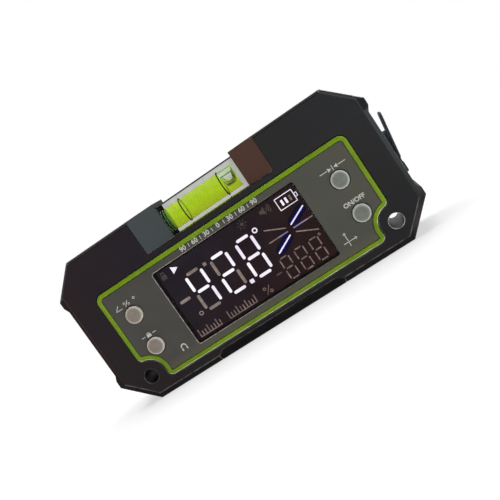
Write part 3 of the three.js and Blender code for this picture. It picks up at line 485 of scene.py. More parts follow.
casingFinishes = [
    # ABS, moulded against a spark-eroded tool: near-black, with a fine even grain that spreads the light.
    # The real grain is 0.05 mm, drawn at 0.3 mm so that it shows. Painted light and shade: redder on the
    # left, other tones at the right end, and a darker tone towards the base.
    finish("abs_moulded_sparked", "#251e25", "#201b27", blotch=16, grain=0.3, relief=0.02,
           roughness=(0.42, 0.58), ior=1.45, right=("#292728", "#252529"), low=("#242024", 8, 45)),
    # The same ABS off a polished part of the tool, in the vial's pocket: it mirrors the studio
    finish("abs_moulded_polished", "#1f1d1f", "#232123", blotch=8, grain=1.5, relief=0.004,
           roughness=(0.16, 0.22)),
    # Its outer edges, painted lighter: a painted highlight, a thin broken line of light round every face
    finish("abs_edges_painted_highlight", "#736d6a", "#383436", blotch=3, grain=0.6, relief=0.01, roughness=(0.25, 0.4)),
    # Its front bevels, off the polished rim of the tool: dark, with glints where they face a light
    finish("abs_moulded_rim", "#1c191b", "#171517", blotch=5, grain=0.8, relief=0.006, roughness=(0.22, 0.3)),
    # Inside the fixing holes, dulled by screws: it only glows where light grazes it. In the right holes it is
    # painted much paler: painted light, as if light came through them.
    finish("abs_bore_dull_painted_light", "#1c1b1c", "#2c2a2a", blotch=1.5, grain=0.5, relief=0.02,
           roughness=(0.3, 0.42), stretch=(1, 0.2, 1), right=("#4a4a46", "#6c6c66")),
    # Their rims, painted white in the right holes and grey in the left: painted light. The same finish paints
    # the highlight on the outer edge at the top right.
    finish("abs_rim_painted_light", "#66626b", "#3a373d", blotch=1.2, grain=0.4, relief=0.01, roughness=(0.25, 0.4),
           right=("#e2e3dc", "#8e908a")),
    # The bevel of the left end and the top of the right end's: matt, with painted shade darker than all round
    # them
    finish("abs_bevel_matt_painted_shade", "#19181d", "#232127", blotch=3, grain=0.4, relief=0.02,
           roughness=(0.55, 0.7), ior=1.3),
    # The seat under the window, a ledge in shade, painted a dull violet-brown as light as the glass: painted
    # light
    finish("abs_seat_painted_light", "#5c474d", "#4f3f46", blotch=6, grain=0.4, relief=0.01, roughness=(0.6, 0.75)),
]
mouldedAbs = casingFinishes[0]
inMould, polished, _, glossyBevel, inBore, paintedLitRim, mattShadedBevel, paintedLitSeat = range(8)


def casingEdge(p):
    (halfX, halfY), (foot, head) = casing["cavityHalf"], casing["cavityHeights"]
    return not (abs(p.x) < halfX and abs(p.y) < halfY and foot < p.z < head)


def isFrontBevel(way):
    low, high = casing["bevelLean"]
    return low < way.y < high


def isEndBevel(way):
    return isFrontBevel(way) and abs(way.x) > 0.3 and abs(way.z) < 0.2


def casingFinish(middle, way, isEdge):  # which finish a face takes, or none for the one it has
    low, high = casing["pocketSplay"]
    across, up, radius = casing["fixingHole"]
    seatHalf, seatFoot, seatHead, seatFront, seatBack = casing["windowSeat"]
    highlightFrom, highlightTo, highlightFoot = casing["shoulder"]
    atFront = middle.y < casing["bevelBack"]
    slanted = abs(way.x) > 0.3 and abs(way.y) > 0.3
    if slanted and middle.z > casing["pocketFloor"] and low < abs(middle.x) < high:
        return polished if middle.y < 0 else inMould
    if hypot(abs(middle.x) - across, middle.z - up) < radius and abs(way.y) < 0.98:
        return inBore if abs(way.y) < 0.2 else paintedLitRim
    # the ledge under the window takes painted light
    if abs(middle.x) < seatHalf and seatFoot < middle.z < seatHead and seatFront < middle.y < seatBack:
        return paintedLitSeat
    if isEdge and middle.y < casing["innerEdge"] and middle.z > casing["waist"]:
        return glossyBevel
    # the outer edge at the top right takes a painted highlight, and a painted shade past it
    if isEdge and atFront and middle.x > highlightFrom and middle.z > highlightFoot:
        return paintedLitRim if middle.x < highlightTo else mattShadedBevel
    if not isEdge and atFront and isFrontBevel(way):
        # the left end's bevel and the top of the right end's take the matt finish with painted shade
        dull = isEndBevel(way) and (way.x < 0 or middle.z > casing["shadedBevelAbove"])
        return mattShadedBevel if dull else glossyBevel
    return None


def buildCasing(name, node):
    bm = softened(node, casing["edge"], casingEdge)
    bevels = [face for face in bm.faces if isEndBevel(face.normal)]
    parts = {part for face in bevels for part in (face, *face.edges, *face.verts)}
    bmesh.ops.bisect_plane(bm, geom=list(parts), dist=1e-6, plane_co=(0, 0, casing["shadedBevelAbove"] * mm),
                           plane_no=(0, 0, 1))
    for face in bm.faces:
        chosen = casingFinish(centreOf(face), face.normal, face.material_index == roundEdge)
        if chosen is not None:
            face.material_index = chosen
    addPiece(name, bm, casingFinishes, replaced=[node], sharp=50)


buildCasing("front_shell", "front_housing")
buildCasing("rear_shell", "rear_housing")
print("casings built")

# Control panel: green frame and grey printed plate

panel = {
    "cornerRadius": 3.0,
    "notchRadius": 6.3,
    "notchFillet": 2.2,
    "hole": (52.5, 9.2),
    "frameWidth": 1.7,
    "frameRound": 0.55,
    "plateGap": 0.15,
    "plateRim": 0.08,
    "cap": 6.45,                 # diameter of a button
    "capGap": 0.325,
    "windowCorner": 0.8,
    "arcSteps": 10,
}

# Gloss ABS, moulded in green: saturated, with a soft painted highlight along its rounded rim
greenAbs = finish("abs_moulded_gloss_green", "#85a912", "#77990f", blotch=7, grain=0.8, relief=0.006,
                  roughness=(0.24, 0.34), worn=("#a9cc3c", 3, 0.3))
# The same green painted pale along its lower outer edge: a painted highlight
highlitGreenAbs = finish("abs_green_painted_highlight", "#eeeedc", "#b4bd84", blotch=1.6, grain=0.5, relief=0.006,
                 roughness=(0.3, 0.4))
# Polycarbonate overlay, screen printed grey on a fine velvet texture: flat and slightly warm. It is painted
# lighter and a little greener to the right and lighter and warmer near its foot: painted light.
printedPolycarbonate = finish("polycarbonate_printed_velvet", "#565550", "#514f4a", blotch=20, grain=0.35,
                              relief=0.012, roughness=(0.5, 0.62), ior=1.4, right=("#5c5b51", "#57574f"),
                              low=("#67644f", 6, 11))
# Screen printing ink: thin, matt and a little uneven at its edges
printInk = finish("ink_screen_printed_white", "#e4e2da", "#c9c7be", blotch=0.6, grain=0.25, relief=0.004,
                  roughness=(0.55, 0.7))
# Grey ink for the line round the window, with a painted highlight: bright and broken on the left, darker to
# the right
greyInk = finish("ink_screen_printed_grey", "#f0eee4", "#a09d94", blotch=0.8, grain=0.25, relief=0.004,
                 roughness=(0.55, 0.7), right=("#6d645c", "#4a423c"))


def panelLoop(inset):  # the lower corners run round the fixing holes
    low, high, _ = boxOf("panel_frame")
    half, top, bottom = high.x - inset, high.z - inset, low.z + inset
    corner = panel["cornerRadius"] - inset
    notch, fillet = panel["notchRadius"] + inset, panel["notchFillet"] - inset
    holeX, holeZ = panel["hole"]
    reach = notch + fillet
    side = (half - fillet, holeZ + sqrt(reach ** 2 - (half - fillet - holeX) ** 2))
    foot = (holeX - sqrt(reach ** 2 - (bottom + fillet - holeZ) ** 2), bottom + fillet)
    sideTurn, footTurn = (atan2(holeZ - z, holeX - x) for x, z in (side, foot))
    steps = panel["arcSteps"]
    right = [
        *arc(foot, fillet, -pi / 2, footTurn, steps),
        *arc((holeX, holeZ), notch, footTurn + pi, sideTurn + pi, steps),
        *arc(side, fillet, sideTurn, 0, steps),
        *arc((half - corner, top - corner), corner, 0, pi / 2, steps),
    ]
    return right + [(-x, z) for x, z in reversed(right)]


def buildFrame():
    low, high, middle = boxOf("panel_frame")
    width = panel["frameWidth"]
    front = roundFront(low.y, panel["frameRound"])
    outer = front + [(0, high.y)]
    inner = [(width, high.y)] + [(width - inset, depth) for inset, depth in reversed(front)]
    bm = bmesh.new()
    rings = ringsOf(bm, panelLoop, outer + inner)
    for number, (near, far) in enumerate(zip(rings, rings[1:] + rings[:1])):
        for face in joined(bm, near, far):
            face.normal_update()
            below = centreOf(face).z < middle.z and abs(face.normal.z) > 0.25
            face.material_index = int(below and 1 <= number < len(outer))  # its lower outer edge takes the painted highlight
    addPiece("green_frame", bm, [greenAbs, highlitGreenAbs], replaced=["panel_frame"], sharp=60)


buttonNames = ("unit", "hold", "reference", "power")
buttonAt = {name: boxOf(name + "_plunger")[2] for name in buttonNames}
windowLow, windowHigh, windowMiddle = boxOf("display_window")
plateLow, plateHigh, _ = boxOf("panel_plate")


def windowLoop(extra, steps=4):
    size = windowHigh - windowLow
    return rounded(size.x + 2 * extra, size.z + 2 * extra, panel["windowCorner"] + extra,
                   (windowMiddle.x, windowMiddle.z), steps)


def buildPlate():
    edge, rim = panel["frameWidth"] + panel["plateGap"], panel["plateRim"]
    loops = [lambda inset: panelLoop(edge + inset), hole(windowLoop(panel["plateGap"]))]
    for place in buttonAt.values():
        loops.append(hole(circle(panel["cap"] + 2 * panel["capGap"], (place.x, place.z))))
    bm = addPlate(loops, [(rim, plateLow.y), (0, plateLow.y + rim), (0, plateHigh.y)])
    addPiece("control_plate", bm, [printedPolycarbonate], replaced=["panel_plate"])


buildFrame()
buildPlate()
print("panel built")

# Display: smoked window, dark glass behind it, and the figures on the glass

display = {
    "windowEdge": 0.3,
    "glassEdge": 0.12,
    "glassCorner": 0.8,
    "figureGap": 0.01,       # between the figures and the glass
    "figureRise": 0.1,
    "glowRise": (0.06, 0.0125),  # of the outermost layer, and how much more the inner ones rise
    "glowFall": 1.5,
    "digits": {              # gap: between neighbouring ends; outer: more at the upright segments' outer ends
        "left": -21.06, "pitch": 10.88, "bottom": 17.89, "width": 7.52, "height": 15.87, "thick": 1.12,
        "gap": 0.68, "outer": 0.55, "lit": ("bcfg", "abdeg", "abcdefg"), "tones": ("tan", "white"),
    },
    "smallDigits": {
        "left": 10.9, "pitch": 6.05, "bottom": 11.33, "width": 4.05, "height": 8.7, "thick": 0.48,
        "gap": 1.1, "outer": 0.0, "lit": ("", "", ""), "tones": ("dim", "dim"),
    },
    "blocks": (              # tone, width, height, corner, middle, steps
        ("white", 1.6, 1.5, 0.3, (-1.08, 18.65), 3),   # decimal point
        ("tan", 1.3, 1.3, 0.2, (-11.9, 33.0), 2),
        ("white", 0.8, 2.1, 0.1, (23.35, 35.95), 2),   # battery bars
        ("white", 0.8, 2.1, 0.1, (24.95, 35.95), 2),
        ("dim", 0.8, 2.1, 0.1, (26.6, 35.95), 2),
        ("faint", 2.1, 1.6, 0.3, (-26.9, 36.8), 2),    # lock
    ),
    "rings": (               # tone, middle, outer and inner radius
        ("white", (9.85, 33.2), 1.0, 0.56),            # degree
        ("tan", (-23.1, 18.85), 0.85, 0.5),
        ("dim", (27.9, 19.8), 0.5, 0.25),
        ("dim", (0.9, 13.8), 0.62, 0.32),              # per cent
        ("dim", (2.9, 12.1), 0.62, 0.32),
    ),
    "frames": (              # tone, left, right, bottom, top, thickness
        ("white", 21.3, 28.4, 33.7, 38.4, 0.27),       # battery
        ("white", 28.3, 29.4, 35.1, 36.7, 0.24),
        ("faint", -27.6, -26.2, 37.4, 38.9, 0.3),      # lock
    ),
    "strokes": (             # tone, start, end, width
        ("tan", (-27.0, 25.85), (-23.7, 25.85), 1.15),  # minus
        ("dim", (0.9, 11.6), (3.0, 14.3), 0.3),
        ("faint", (7.6, 15.6), (9.3, 15.6), 0.6),
    ),
    "polygons": (
        ("white", (-23.2, 36.1), (-20.7, 37.5), (-23.2, 38.9)),  # pointer
        ("faint", (14.6, 36.5), (15.5, 36.5), (16.7, 35.6), (16.7, 38.6), (15.5, 37.7), (14.6, 37.7)),
    ),
    "beams": (
        ("tan", (12.5, 31.25), (19.4, 27.9)), ("white", (21.7, 28.0), (28.6, 31.25)),
        ("tan", (11.7, 26.5), (15.4, 26.5)), ("violet", (15.4, 26.5), (19.2, 26.5)),
        ("violet", (21.8, 26.5), (27.4, 26.5)), ("tan", (27.4, 26.5), (29.4, 26.5)),
        ("white", (12.6, 21.7), (19.3, 25.0)), ("tan", (21.8, 24.9), (28.7, 21.4)),
    ),
    "beamWidths": {"white": 0.5, "tan": 0.41, "violet": 0.41},
    "frameCorners": (0.2, 0.05),
    "glowWidths": (3.6, 3.2, 2.8, 2.4, 2.0, 1.6, 1.2),
    "glowInset": 1.1,        # how far the glow stops short of a bar's ends
    "sun": {"middle": (7.25, 37.4), "disc": 1.2, "rays": 8, "reach": (1.0, 1.8), "width": 0.22},
    "sound": {"middle": (16.6, 37.1), "bows": ((1.0, 0.72), (1.7, 1.42), (2.4, 2.12)), "turn": 0.7},
    "scales": {"starts": ((-28.0, 8), (-15.2, 10)), "pitch": 1.28, "bottom": 11.6, "ticks": (2.7, 1.7, 1.7),
               "tick": 0.38, "base": 0.32, "drop": 0.1},
}

windowSmoke = ("#dcd6da", "#cfcad0")


def smokedAcrylic():  # cast acrylic, polished: clear but grey, with a sharp reflection
    material, tree = newMaterial("acrylic_polished_smoked")
    clear = addNode(tree, "BsdfTransparent", {"Color": mottled(tree, windowSmoke, 9, 3)})
    gloss = addNode(tree, "BsdfGlossy", {"Color": white, "Roughness": patches(tree, 9, 0.03, 0.07, 3)})
    fresnel = addNode(tree, "Fresnel", {"IOR": 1.49})
    addNode(tree, "OutputMaterial", [addNode(tree, "MixShader", (fresnel, clear, gloss))])
    return material


def seenThrough(name, colours, size, detail=2.0):
    material, tree = newMaterial(name)
    clear = addNode(tree, "BsdfTransparent", {"Color": mottled(tree, colours, size, detail)})
    addNode(tree, "OutputMaterial", [clear])
    return material


def darkGlass():  # coated display glass: violet-black, redder to the lower right, drawn as a painted glow; part of it is light leaking in
    material, tree = newMaterial("glass_coated_dark")
    place = addNode(tree, "SeparateXYZ", [addNode(tree, "TexCoord", out="Object")]).node.outputs
    slant = addNode(tree, "Math", (place["X"], place["Z"]), operation="SUBTRACT")
    lowerRight = addNode(tree, "MapRange", (slant, -55 * mm, 6 * mm, 0, 1))
    colour = layered(tree, "#353139", (lowerRight, "#3f2927"), (patches(tree, 7, 0, 0.3, 4), "#1f1b20"))
    surface = addNode(tree, "BsdfPrincipled", {
        "Base Color": "#050405", "Roughness": patches(tree, 0.8, 0.3, 0.4), "IOR": 1.3,
        "Emission Color": colour, "Emission Strength": 1.0,
    })
    addNode(tree, "OutputMaterial", [surface])
    return material


def backlightGlow():  # light of the lit bars leaking into the glass: deep blue, dying away at the edges
    material, tree = newMaterial("backlight_leak_blue")
    share = addNode(tree, "Attribute", out="Fac", attribute_name="share")
    grain = patches(tree, 1.5, 0.85, 1.0)
    level = addNode(tree, "Math", (share, grain), operation="MULTIPLY", use_clamp=True)
    colour = layered(tree, "#1c1526", (level, "#0c1090"))
    addNode(tree, "OutputMaterial", [addNode(tree, "Emission", {"Color": colour, "Strength": 1.0})])
    return material


windowAcrylic = smokedAcrylic()
# The window's back, blackened a little by the glass's coating: no reflection of its own
windowBack = seenThrough("acrylic_back_smoked", windowSmoke, 9, 3)
displayGlass = darkGlass()
figureFinishes = {
    # Segments with the light behind them, the slanted bars' neighbours tinted by the glow
    "white": glowing("segment_lit_white", ("#fbffff", "#f4ffff"), 2.4, 1.5),
    "violet": glowing("segment_lit_violet", ("#b5add8", "#a39cc8"), 1.5, 1.5),
    # Unlit segments: thin printed film that the light behind shows as dull tan
    "tan": glowing("film_printed_tan", ("#d2c8b6", "#ada294"), 1.0, 0.9),
    "dim": glowing("film_printed_dim", ("#cabaa6", "#958678"), 1.0, 0.9),
    "faint": glowing("film_printed_faint", ("#7d766b", "#625b53"), 1.0, 0.9),
    "glow": backlightGlow(),
}


def behindWindow(loop):  # moves what is drawn on the front face back along the line of sight to the glass
    eye = cameraView["place"]
    scale = (boxOf("display_glass")[0].y - eye.y) / (windowLow.y - eye.y)
    return lambda inset: [(eye.x + (x - eye.x) * scale, eye.z + (z - eye.z) * scale) for x, z in loop(inset)]


def sevenSegments(left, look):  # the centre line of each segment, by its letter
    thick, half = look["thick"], look["thick"] / 2
    low, high = look["bottom"] + half, look["bottom"] + look["height"] - half
    near, far, middle = left + half, left + look["width"] - half, (low + high) / 2
    gap = look["gap"] * thick
    end, mid = gap + look["outer"], gap + half
    return {
        "a": ((near + mid, high), (far - mid, high)),
        "b": ((far, middle + mid), (far, high - end)),
        "c": ((far, low + end), (far, middle - mid)),
        "d": ((near + mid, low), (far - mid, low)),
        "e": ((near, low + end), (near, middle - mid)),
        "f": ((near, middle + mid), (near, high - end)),
        "g": ((near + mid, middle), (far - mid, middle)),
    }


def frameLoops(left, right, bottom, top, thick):
    centre, (outer, inner) = ((left + right) / 2, (bottom + top) / 2), display["frameCorners"]
    return [
        rounded(right - left, top - bottom, outer, centre, 2),
        hole(rounded(right - left - 2 * thick, top - bottom - 2 * thick, inner, centre, 2)),
    ]


def figures():  # loops by finish
    marks = {tone: [] for tone in figureFinishes}
    for look in (display["digits"], display["smallDigits"]):
        for index, lit in enumerate(look["lit"]):
            lines = sevenSegments(look["left"] + index * look["pitch"], look)
            for letter, ends in lines.items():
                marks[look["tones"][letter in lit]].append([stroke(*ends, look["thick"])])
    kinds = {"blocks": rounded, "rings": ring, "frames": frameLoops, "strokes": stroke, "polygons": polygon}
    for kind, drawn in kinds.items():
        for tone, *sizes in display[kind]:
            loops = drawn(*sizes)
            marks[tone].append([loops] if callable(loops) else loops)
    for tone, start, end in display["beams"]:
        marks[tone].append([stroke(start, end, display["beamWidths"][tone])])
        if tone == "white":
            along = (Vector(end) - Vector(start)).normalized() * display["glowInset"]
            ends = (Vector(start) + along, Vector(end) - along)
            marks["glow"] += [[stroke(*ends, width)] for width in display["glowWidths"]]
    sun, sound, scales = display["sun"], display["sound"], display["scales"]
    hub = Vector(sun["middle"])
    for step in range(sun["rays"]):
        turn = 2 * pi * step / sun["rays"]
        way = Vector((cos(turn), sin(turn)))
        marks["faint"].append([stroke(*(hub + reach * way for reach in sun["reach"]), sun["width"])])
    marks["faint"].append([circle(sun["disc"], sun["middle"], 16)])
    for outer, inner in sound["bows"]:
        marks["faint"].append([bow(sound["middle"], outer, inner, -sound["turn"], sound["turn"], 6)])
    bottom, foot = scales["bottom"], scales["bottom"] - scales["drop"]
    for left, count in scales["starts"]:         # unlit bar scales
        ticks = [left + step * scales["pitch"] for step in range(count)]
        for step, x in enumerate(ticks):
            top = bottom + scales["ticks"][step % len(scales["ticks"])]
            marks["dim"].append([stroke((x, bottom), (x, top), scales["tick"])])
        marks["dim"].append([stroke((left, foot), (ticks[-1], foot), scales["base"])])
    return marks


def buildDisplay():
    low, high, middle = boxOf("display_glass")
    outline = rounded(high.x - low.x, high.z - low.z, display["glassCorner"], (middle.x, middle.z))
    bm = addPlate([outline], chamfered(low.y, high.y, display["glassEdge"]))
    addPiece("dark_glass", bm, [displayGlass], replaced=["display_glass"])
    edge = display["windowEdge"]
    bm = addPlate([windowLoop(0)], roundFront(windowLow.y, edge, 3) + [(0, windowHigh.y)])
    for face in bm.faces:
        face.material_index = int(centreOf(face).y > windowLow.y + edge)
    addPiece("smoked_window", bm, [windowAcrylic, windowBack],
             replaced=["display_window"])
    layers = len(display["glowWidths"])
    for tone, groups in figures().items():
        bm = bmesh.new()
        share = bm.verts.layers.float.new("share")     # how deep in the glow
        rise, step = display["glowRise"] if tone == "glow" else (display["figureRise"], 0)
        for number, loops in enumerate(groups):
            known = len(bm.verts)
            layer = number % layers / layers if tone == "glow" else 0
            moved = [behindWindow(loop) for loop in loops]
            addPlate(moved, [(0, low.y - rise - step * layer), (0, low.y - display["figureGap"])], bm=bm)
            bm.verts.ensure_lookup_table()
            for vertex in bm.verts[known:]:
                vertex[share] = layer ** display["glowFall"]
        addPiece("figures_" + tone, bm, [figureFinishes[tone]])


buildDisplay()
print("display built")

# Printing on the plate: a numbered scale, signs for the buttons, and ON/OFF

printing = {
    "thickness": 0.03,
    "gap": 0.002,            # between the ink and the plate
    "scaleHalf": 15.2,
    "scaleBottom": 40.95,
    "scaleNumbers": ("90", "60", "30", "0", "30", "60", "90"),
    "numberHeight": 1.75,
    "tick": (0.25, 1.5),     # from the numbers' foot
    "line": 0.27,
    "weight": 0.065,         # how far the letters are thickened
    "capitals": 0.7,         # their height as a share of the type size
    "words": ("ON/OFF", 1.6, 4.85),  # height, and rise above the button
    "outline": (0.36, 0.2),  # how far the window's printed border reaches past it, outside and inside
    "magnet": (-35.75, 12.1),
    "axes": (35.0, 11.9),
    "barb": (0.8, 0.55),     # its length, and how far it splays from the arrow
}


def textMesh(words, height, centre, depth):
    data = bpy.data.curves.new("words", "FONT")
    data.body = words
    data.align_x = data.align_y = "CENTER"
    data.size = height * mm / printing["capitals"]
    data.offset = printing["weight"] * mm
    data.extrude = printing["thickness"] * mm / 2
    data.resolution_u = 4
    words = bpy.data.objects.new("words", data)
    scene.collection.objects.link(words)
    words.matrix_world = (Matrix.Translation(Vector((centre[0], depth, centre[1])) * mm)
                          @ Matrix.Rotation(pi / 2, 4, "X"))
    bpy.context.view_layer.update()
    mesh = evaluated(words)
    mesh.transform(words.matrix_world)
    bpy.data.objects.remove(words)
    return mesh


def signs():  # every sign is drawn from its own middle
    line = printing["line"]
    groups = []

    def draw(middle, strokes=(), shapes=(), rings=()):
        x, z = middle
        groups.extend([stroke((x + a, z + b), (x + c, z + d), line)] for a, b, c, d in strokes)
        groups.extend(ring((x + a, z + b), outer, inner) for a, b, outer, inner in rings)
        groups.extend([shape] for shape in shapes)

    def above(name, rise):
        return buttonAt[name].x, buttonAt[name].z + rise

    half, bottom, (foot, head) = printing["scaleHalf"], printing["scaleBottom"], printing["tick"]
    count = len(printing["scaleNumbers"]) - 1
    for step in range(count):                  # a tick between two numbers
        draw((half * (2 * (step + 0.5) / count - 1), bottom), [(0, foot, 0, head)])
    # an angle, a per cent and a degree sign
    draw(above("unit", 5.0), [(-5.2, -0.8, -2.5, -0.8), (-5.2, -0.8, -3.4, 0.9), (-0.9, -0.8, 0.7, 0.9)],
         rings=[(-0.9, 0.5, 0.42, 0.2), (0.7, -0.4, 0.42, 0.2), (3.4, 0.5, 0.5, 0.26)])
    x, z = above("hold", 4.75)                 # a lock between two dashes
    draw((x, z), [(side * 1.7, -0.1, side * 3.0, -0.1) for side in (-1, 1)],
         [rounded(1.8, 1.15, 0.2, (x, z - 0.35), 2), bow((x, z + 0.2), 0.68, 0.42, 0, pi, 10)])
    x, z = above("reference", 4.8)             # two arrows to a line
    draw((x, z), [(0, -0.9, 0, 0.9)] + [(side * 2.3, 0, side * 5.0, 0) for side in (-1, 1)], [
        polygon((x + side * 0.5, z), *((x + side * 1.9, z + b) for b in (0.75, -0.75))) for side in (-1, 1)])
    x, z = printing["magnet"]
    draw((x, z), shapes=[bow((x, z), 1.2, 0.7, 0, pi, 14)] + [
        rounded(0.5, 1.2, 0.05, (x + side * 0.95, z - 0.85), 2) for side in (-1, 1)])
    long, splay = printing["barb"]
    barbs = [(a, b, a + long * cos(turn), b + long * sin(turn))
             for a, b, way in ((3.4, 0, pi), (0, 3.6, pi * 1.5)) for turn in (way - splay, way + splay)]
    draw(printing["axes"], [(-1.9, 0, 3.4, 0), (0, -1.6, 0, 3.6), *barbs])
    return groups


def buildPrinting():
    thick = printing["thickness"]
    depth = [(0, plateLow.y - thick), (0, plateLow.y - printing["gap"])]
    bm = bmesh.new()
    for loops in signs():
        addPlate(loops, depth, bm=bm)
    half, bottom, height = printing["scaleHalf"], printing["scaleBottom"], printing["numberHeight"]
    words, size, rise = printing["words"]
    texts = [(words, size, (buttonAt["power"].x, buttonAt["power"].z + rise))]
    count = len(printing["scaleNumbers"]) - 1
    for step, number in enumerate(printing["scaleNumbers"]):
        texts.append((number, height, (half * (2 * step / count - 1), bottom + height / 2)))
    for text in texts:
        bm.from_mesh(textMesh(*text, plateLow.y - thick / 2))
    bmesh.ops.remove_doubles(bm, verts=bm.verts[:], dist=1e-7)
    addPiece("panel_printing", bm, [printInk])
    outer, inner = printing["outline"]
    bm = addPlate([windowLoop(outer), hole(windowLoop(inner))], depth)
    addPiece("window_outline", bm, [greyInk])


buildPrinting()
print("printing built")

# Buttons

button = {
    "rise": 0.28,            # of the shallow dome
    "rim": 0.5,
    "rimSteps": 5,
    "domeSteps": 6,
    "rimHighlightFrom": 0.68,        # share of the radius where the rim's painted highlight begins
    "flangeGap": 0.3,
    "flange": 0.7,
    "stem": 1.6,
}

# Grey ABS caps, moulded satin: painted warmer on the left pair and cooler on the right pair, painted light.
# Their rounded rims take a painted highlight that grows paler outwards, and the flange behind each cap is
# painted near-black: painted shade in the gap round the cap.
capAbs = finish("abs_moulded_satin_grey", "#9c9085", "#8e8378", blotch=2.2, grain=0.3, relief=0.006,
                roughness=(0.3, 0.4), right=("#878a81", "#7a7d74"), rim=("#f4ebe0", "#ecf0e8"))


def buildButton(name):
    low, high, middle = boxOf(name + "_button")
    radius, rim = panel["cap"] / 2, button["rim"]
    flangeRadius, flangeFront = (high.x - low.x) / 2, plateHigh.y + button["flangeGap"]
    flangeBack, rise = flangeFront + button["flange"], button["rise"]
    shares = [step / button["domeSteps"] for step in range(button["domeSteps"])]
    dome = [((radius - rim) * share, low.y + rise * share ** 2) for share in shares]
    edge = [(radius - inset, depth) for inset, depth in roundFront(low.y + rise, rim, button["rimSteps"])]
    bm = bmesh.new()
    # the painted highlight at the rim, paler outwards
    pale = bm.verts.layers.float.new("rim")
    addTurned([
        *dome, *edge, (radius, flangeFront), (flangeRadius, flangeFront), (flangeRadius, flangeBack),
        (button["stem"], flangeBack), (button["stem"], high.y), (0, high.y),
    ], (middle.x, middle.z), bm=bm)

    def away(place):
        return hypot(place.x - middle.x, place.z - middle.z)

    for vertex in bm.verts:
        share = away(vertex.co / mm) / radius
        vertex[pale] = min(1, max(0, share - button["rimHighlightFrom"]) / (1 - button["rimHighlightFrom"])) ** 2
    for face in bm.faces:        # the flange takes the near-black ABS: painted shade in the gap round the cap
        place = centreOf(face)
        face.material_index = int(away(place) > radius or place.y > flangeFront + 0.01)
    body = name + "_button"
    addPiece(name + "_cap", bm, [capAbs, mouldedAbs], body, [body])


for name in buttonNames:
    buildButton(name)
print("buttons built")

# Vial: clear block with a bore, tinted fluid with a hollow for the bubble, ring lines and a plug

vial = {
    "edge": 0.25,
    "corner": 0.46,
    "solidEnd": (14.2, 15.2),        # along it, where the acrylic past the bore turns greyer
    "lightRise": (49.5, 52.5),       # heights between which the fluid's painted shade, a grey tint at its foot, turns clear
    "skyRise": (53.5, 56.5),         # and where a painted glow makes its top paler, as if lit from above
    "spiritIor": 1.47,
    "acrylicIor": 1.49,
    "dye": "#f7fa00",                # the light that it lets through
    "dyeDensity": 1424.0,
    "shine": "#e7ffc5",              # of the dye under daylight, painted as a steady glow
    "shineStrength": 55.0,
    "skyTint": "#95edcb",
    "skyGlow": 0.08,
    "boreDrop": 0.47,                # of the bore's axis below the block's middle
    "bore": 8.85,
    "boreStart": -15.2,
    "boreEnd": 14.4,
    "wallGap": 0.06,                 # between fluid and bore
    "ringWidth": 0.42,
    "ringDepth": 0.36,
    "bubble": (5.7, 9.2, 9.6),       # length, width and height before the bore cuts its top and sides off
    "bubbleMiddle": (11.1, 55.25),
    "bubbleFullness": 3.2,
    "film": 0.06,                    # of fluid between bubble and bore
    "ribs": (-16.1, -17.1),
    "ribRise": 0.3,
    "ribHalf": (0.2, 0.08),          # width at its foot and at its top
    "plugTip": (2.6, 3.0, 0.4),      # radii and depth of the hollow in its outer end
}


def castAcrylic():  # acrylic, cast and polished: clear, with a grey body that dulls the white behind it
    material, tree = newMaterial("acrylic_cast_clear")
    cloud = patches(tree, 3, detail=3)
    solid = along(tree, "X", *vial["solidEnd"])
    surface = addNode(tree, "BsdfPrincipled", {
        "Base Color": layered(tree, "#c4c6bf", (cloud, "#b6b8b1"), (solid, "#a8aaa4")),
        "Roughness": addNode(tree, "MapRange", (cloud, *noiseSpan, 0.0, 0.03)),
        "Transmission Weight": 1.0, "IOR": vial["acrylicIor"],
    })
    addNode(tree, "OutputMaterial", [surface])
    return material


def dyedSpirit():  # mineral spirit with a fluorescent dye: it takes the blue out and shines lime inside, a painted glow
    material, tree = newMaterial("spirit_dyed_lime")
    # painted shade: greyer at the foot
    tint = layered(tree, "#e4e4e4", (along(tree, "Z", *vial["lightRise"]), white))
    ripple = patches(tree, 5, 0.0, 0.02)
    # painted light: a pale glow on its top
    skyGlow = along(tree, "Z", *vial["skyRise"], 0.0, vial["skyGlow"])
    wetted, free = [addNode(tree, "BsdfPrincipled", {
        "Base Color": tint, "Transmission Weight": 1.0, "IOR": ior, "Roughness": ripple,
        "Emission Color": vial["skyTint"], "Emission Strength": skyGlow,
    }) for ior in (vial["spiritIor"] / vial["acrylicIor"], vial["spiritIor"])]
    air = addNode(tree, "Attribute", out="Fac", attribute_name="air")  # 1 where the bubble's air is behind
    surface = addNode(tree, "MixShader", (air, wetted, free))
    dye = addNode(tree, "VolumeAbsorption", {"Color": vial["dye"], "Density": vial["dyeDensity"]})
    shine = addNode(tree, "Emission", {"Color": vial["shine"], "Strength": vial["shineStrength"]})
    addNode(tree, "OutputMaterial", [surface, addNode(tree, "AddShader", (dye, shine))])
    return material


clearAcrylic = castAcrylic()
# Where fluid wets the acrylic there is no visible wall
wettedAcrylic = seenThrough("acrylic_wetted", ("#ffffff", "#fbfdf9"), 4)
limeSpirit = dyedSpirit()
# The block's upper corners: matt and painted dark grey, a painted shade that draws a dark line along it
shadedCornerAcrylic = finish("acrylic_corner_painted_shade", "#232524", "#4b4e4b", blotch=0.8, grain=0.3, relief=0.01,
                        roughness=(0.4, 0.6))
# Nitrile plug, moulded: green, wet with dyed spirit, with sealing ribs painted pale as highlights
nitrile = finish("nitrile_moulded_green", "#2c9a4c", "#1c6e34", blotch=1.5, grain=0.4, relief=0.01,
                 roughness=(0.3, 0.45))
highlitNitrileRib = finish("nitrile_rib_painted_highlight", "#dfe8dc", "#9fb39c", blotch=0.8, grain=0.3, relief=0.01,
                    roughness=(0.2, 0.3))
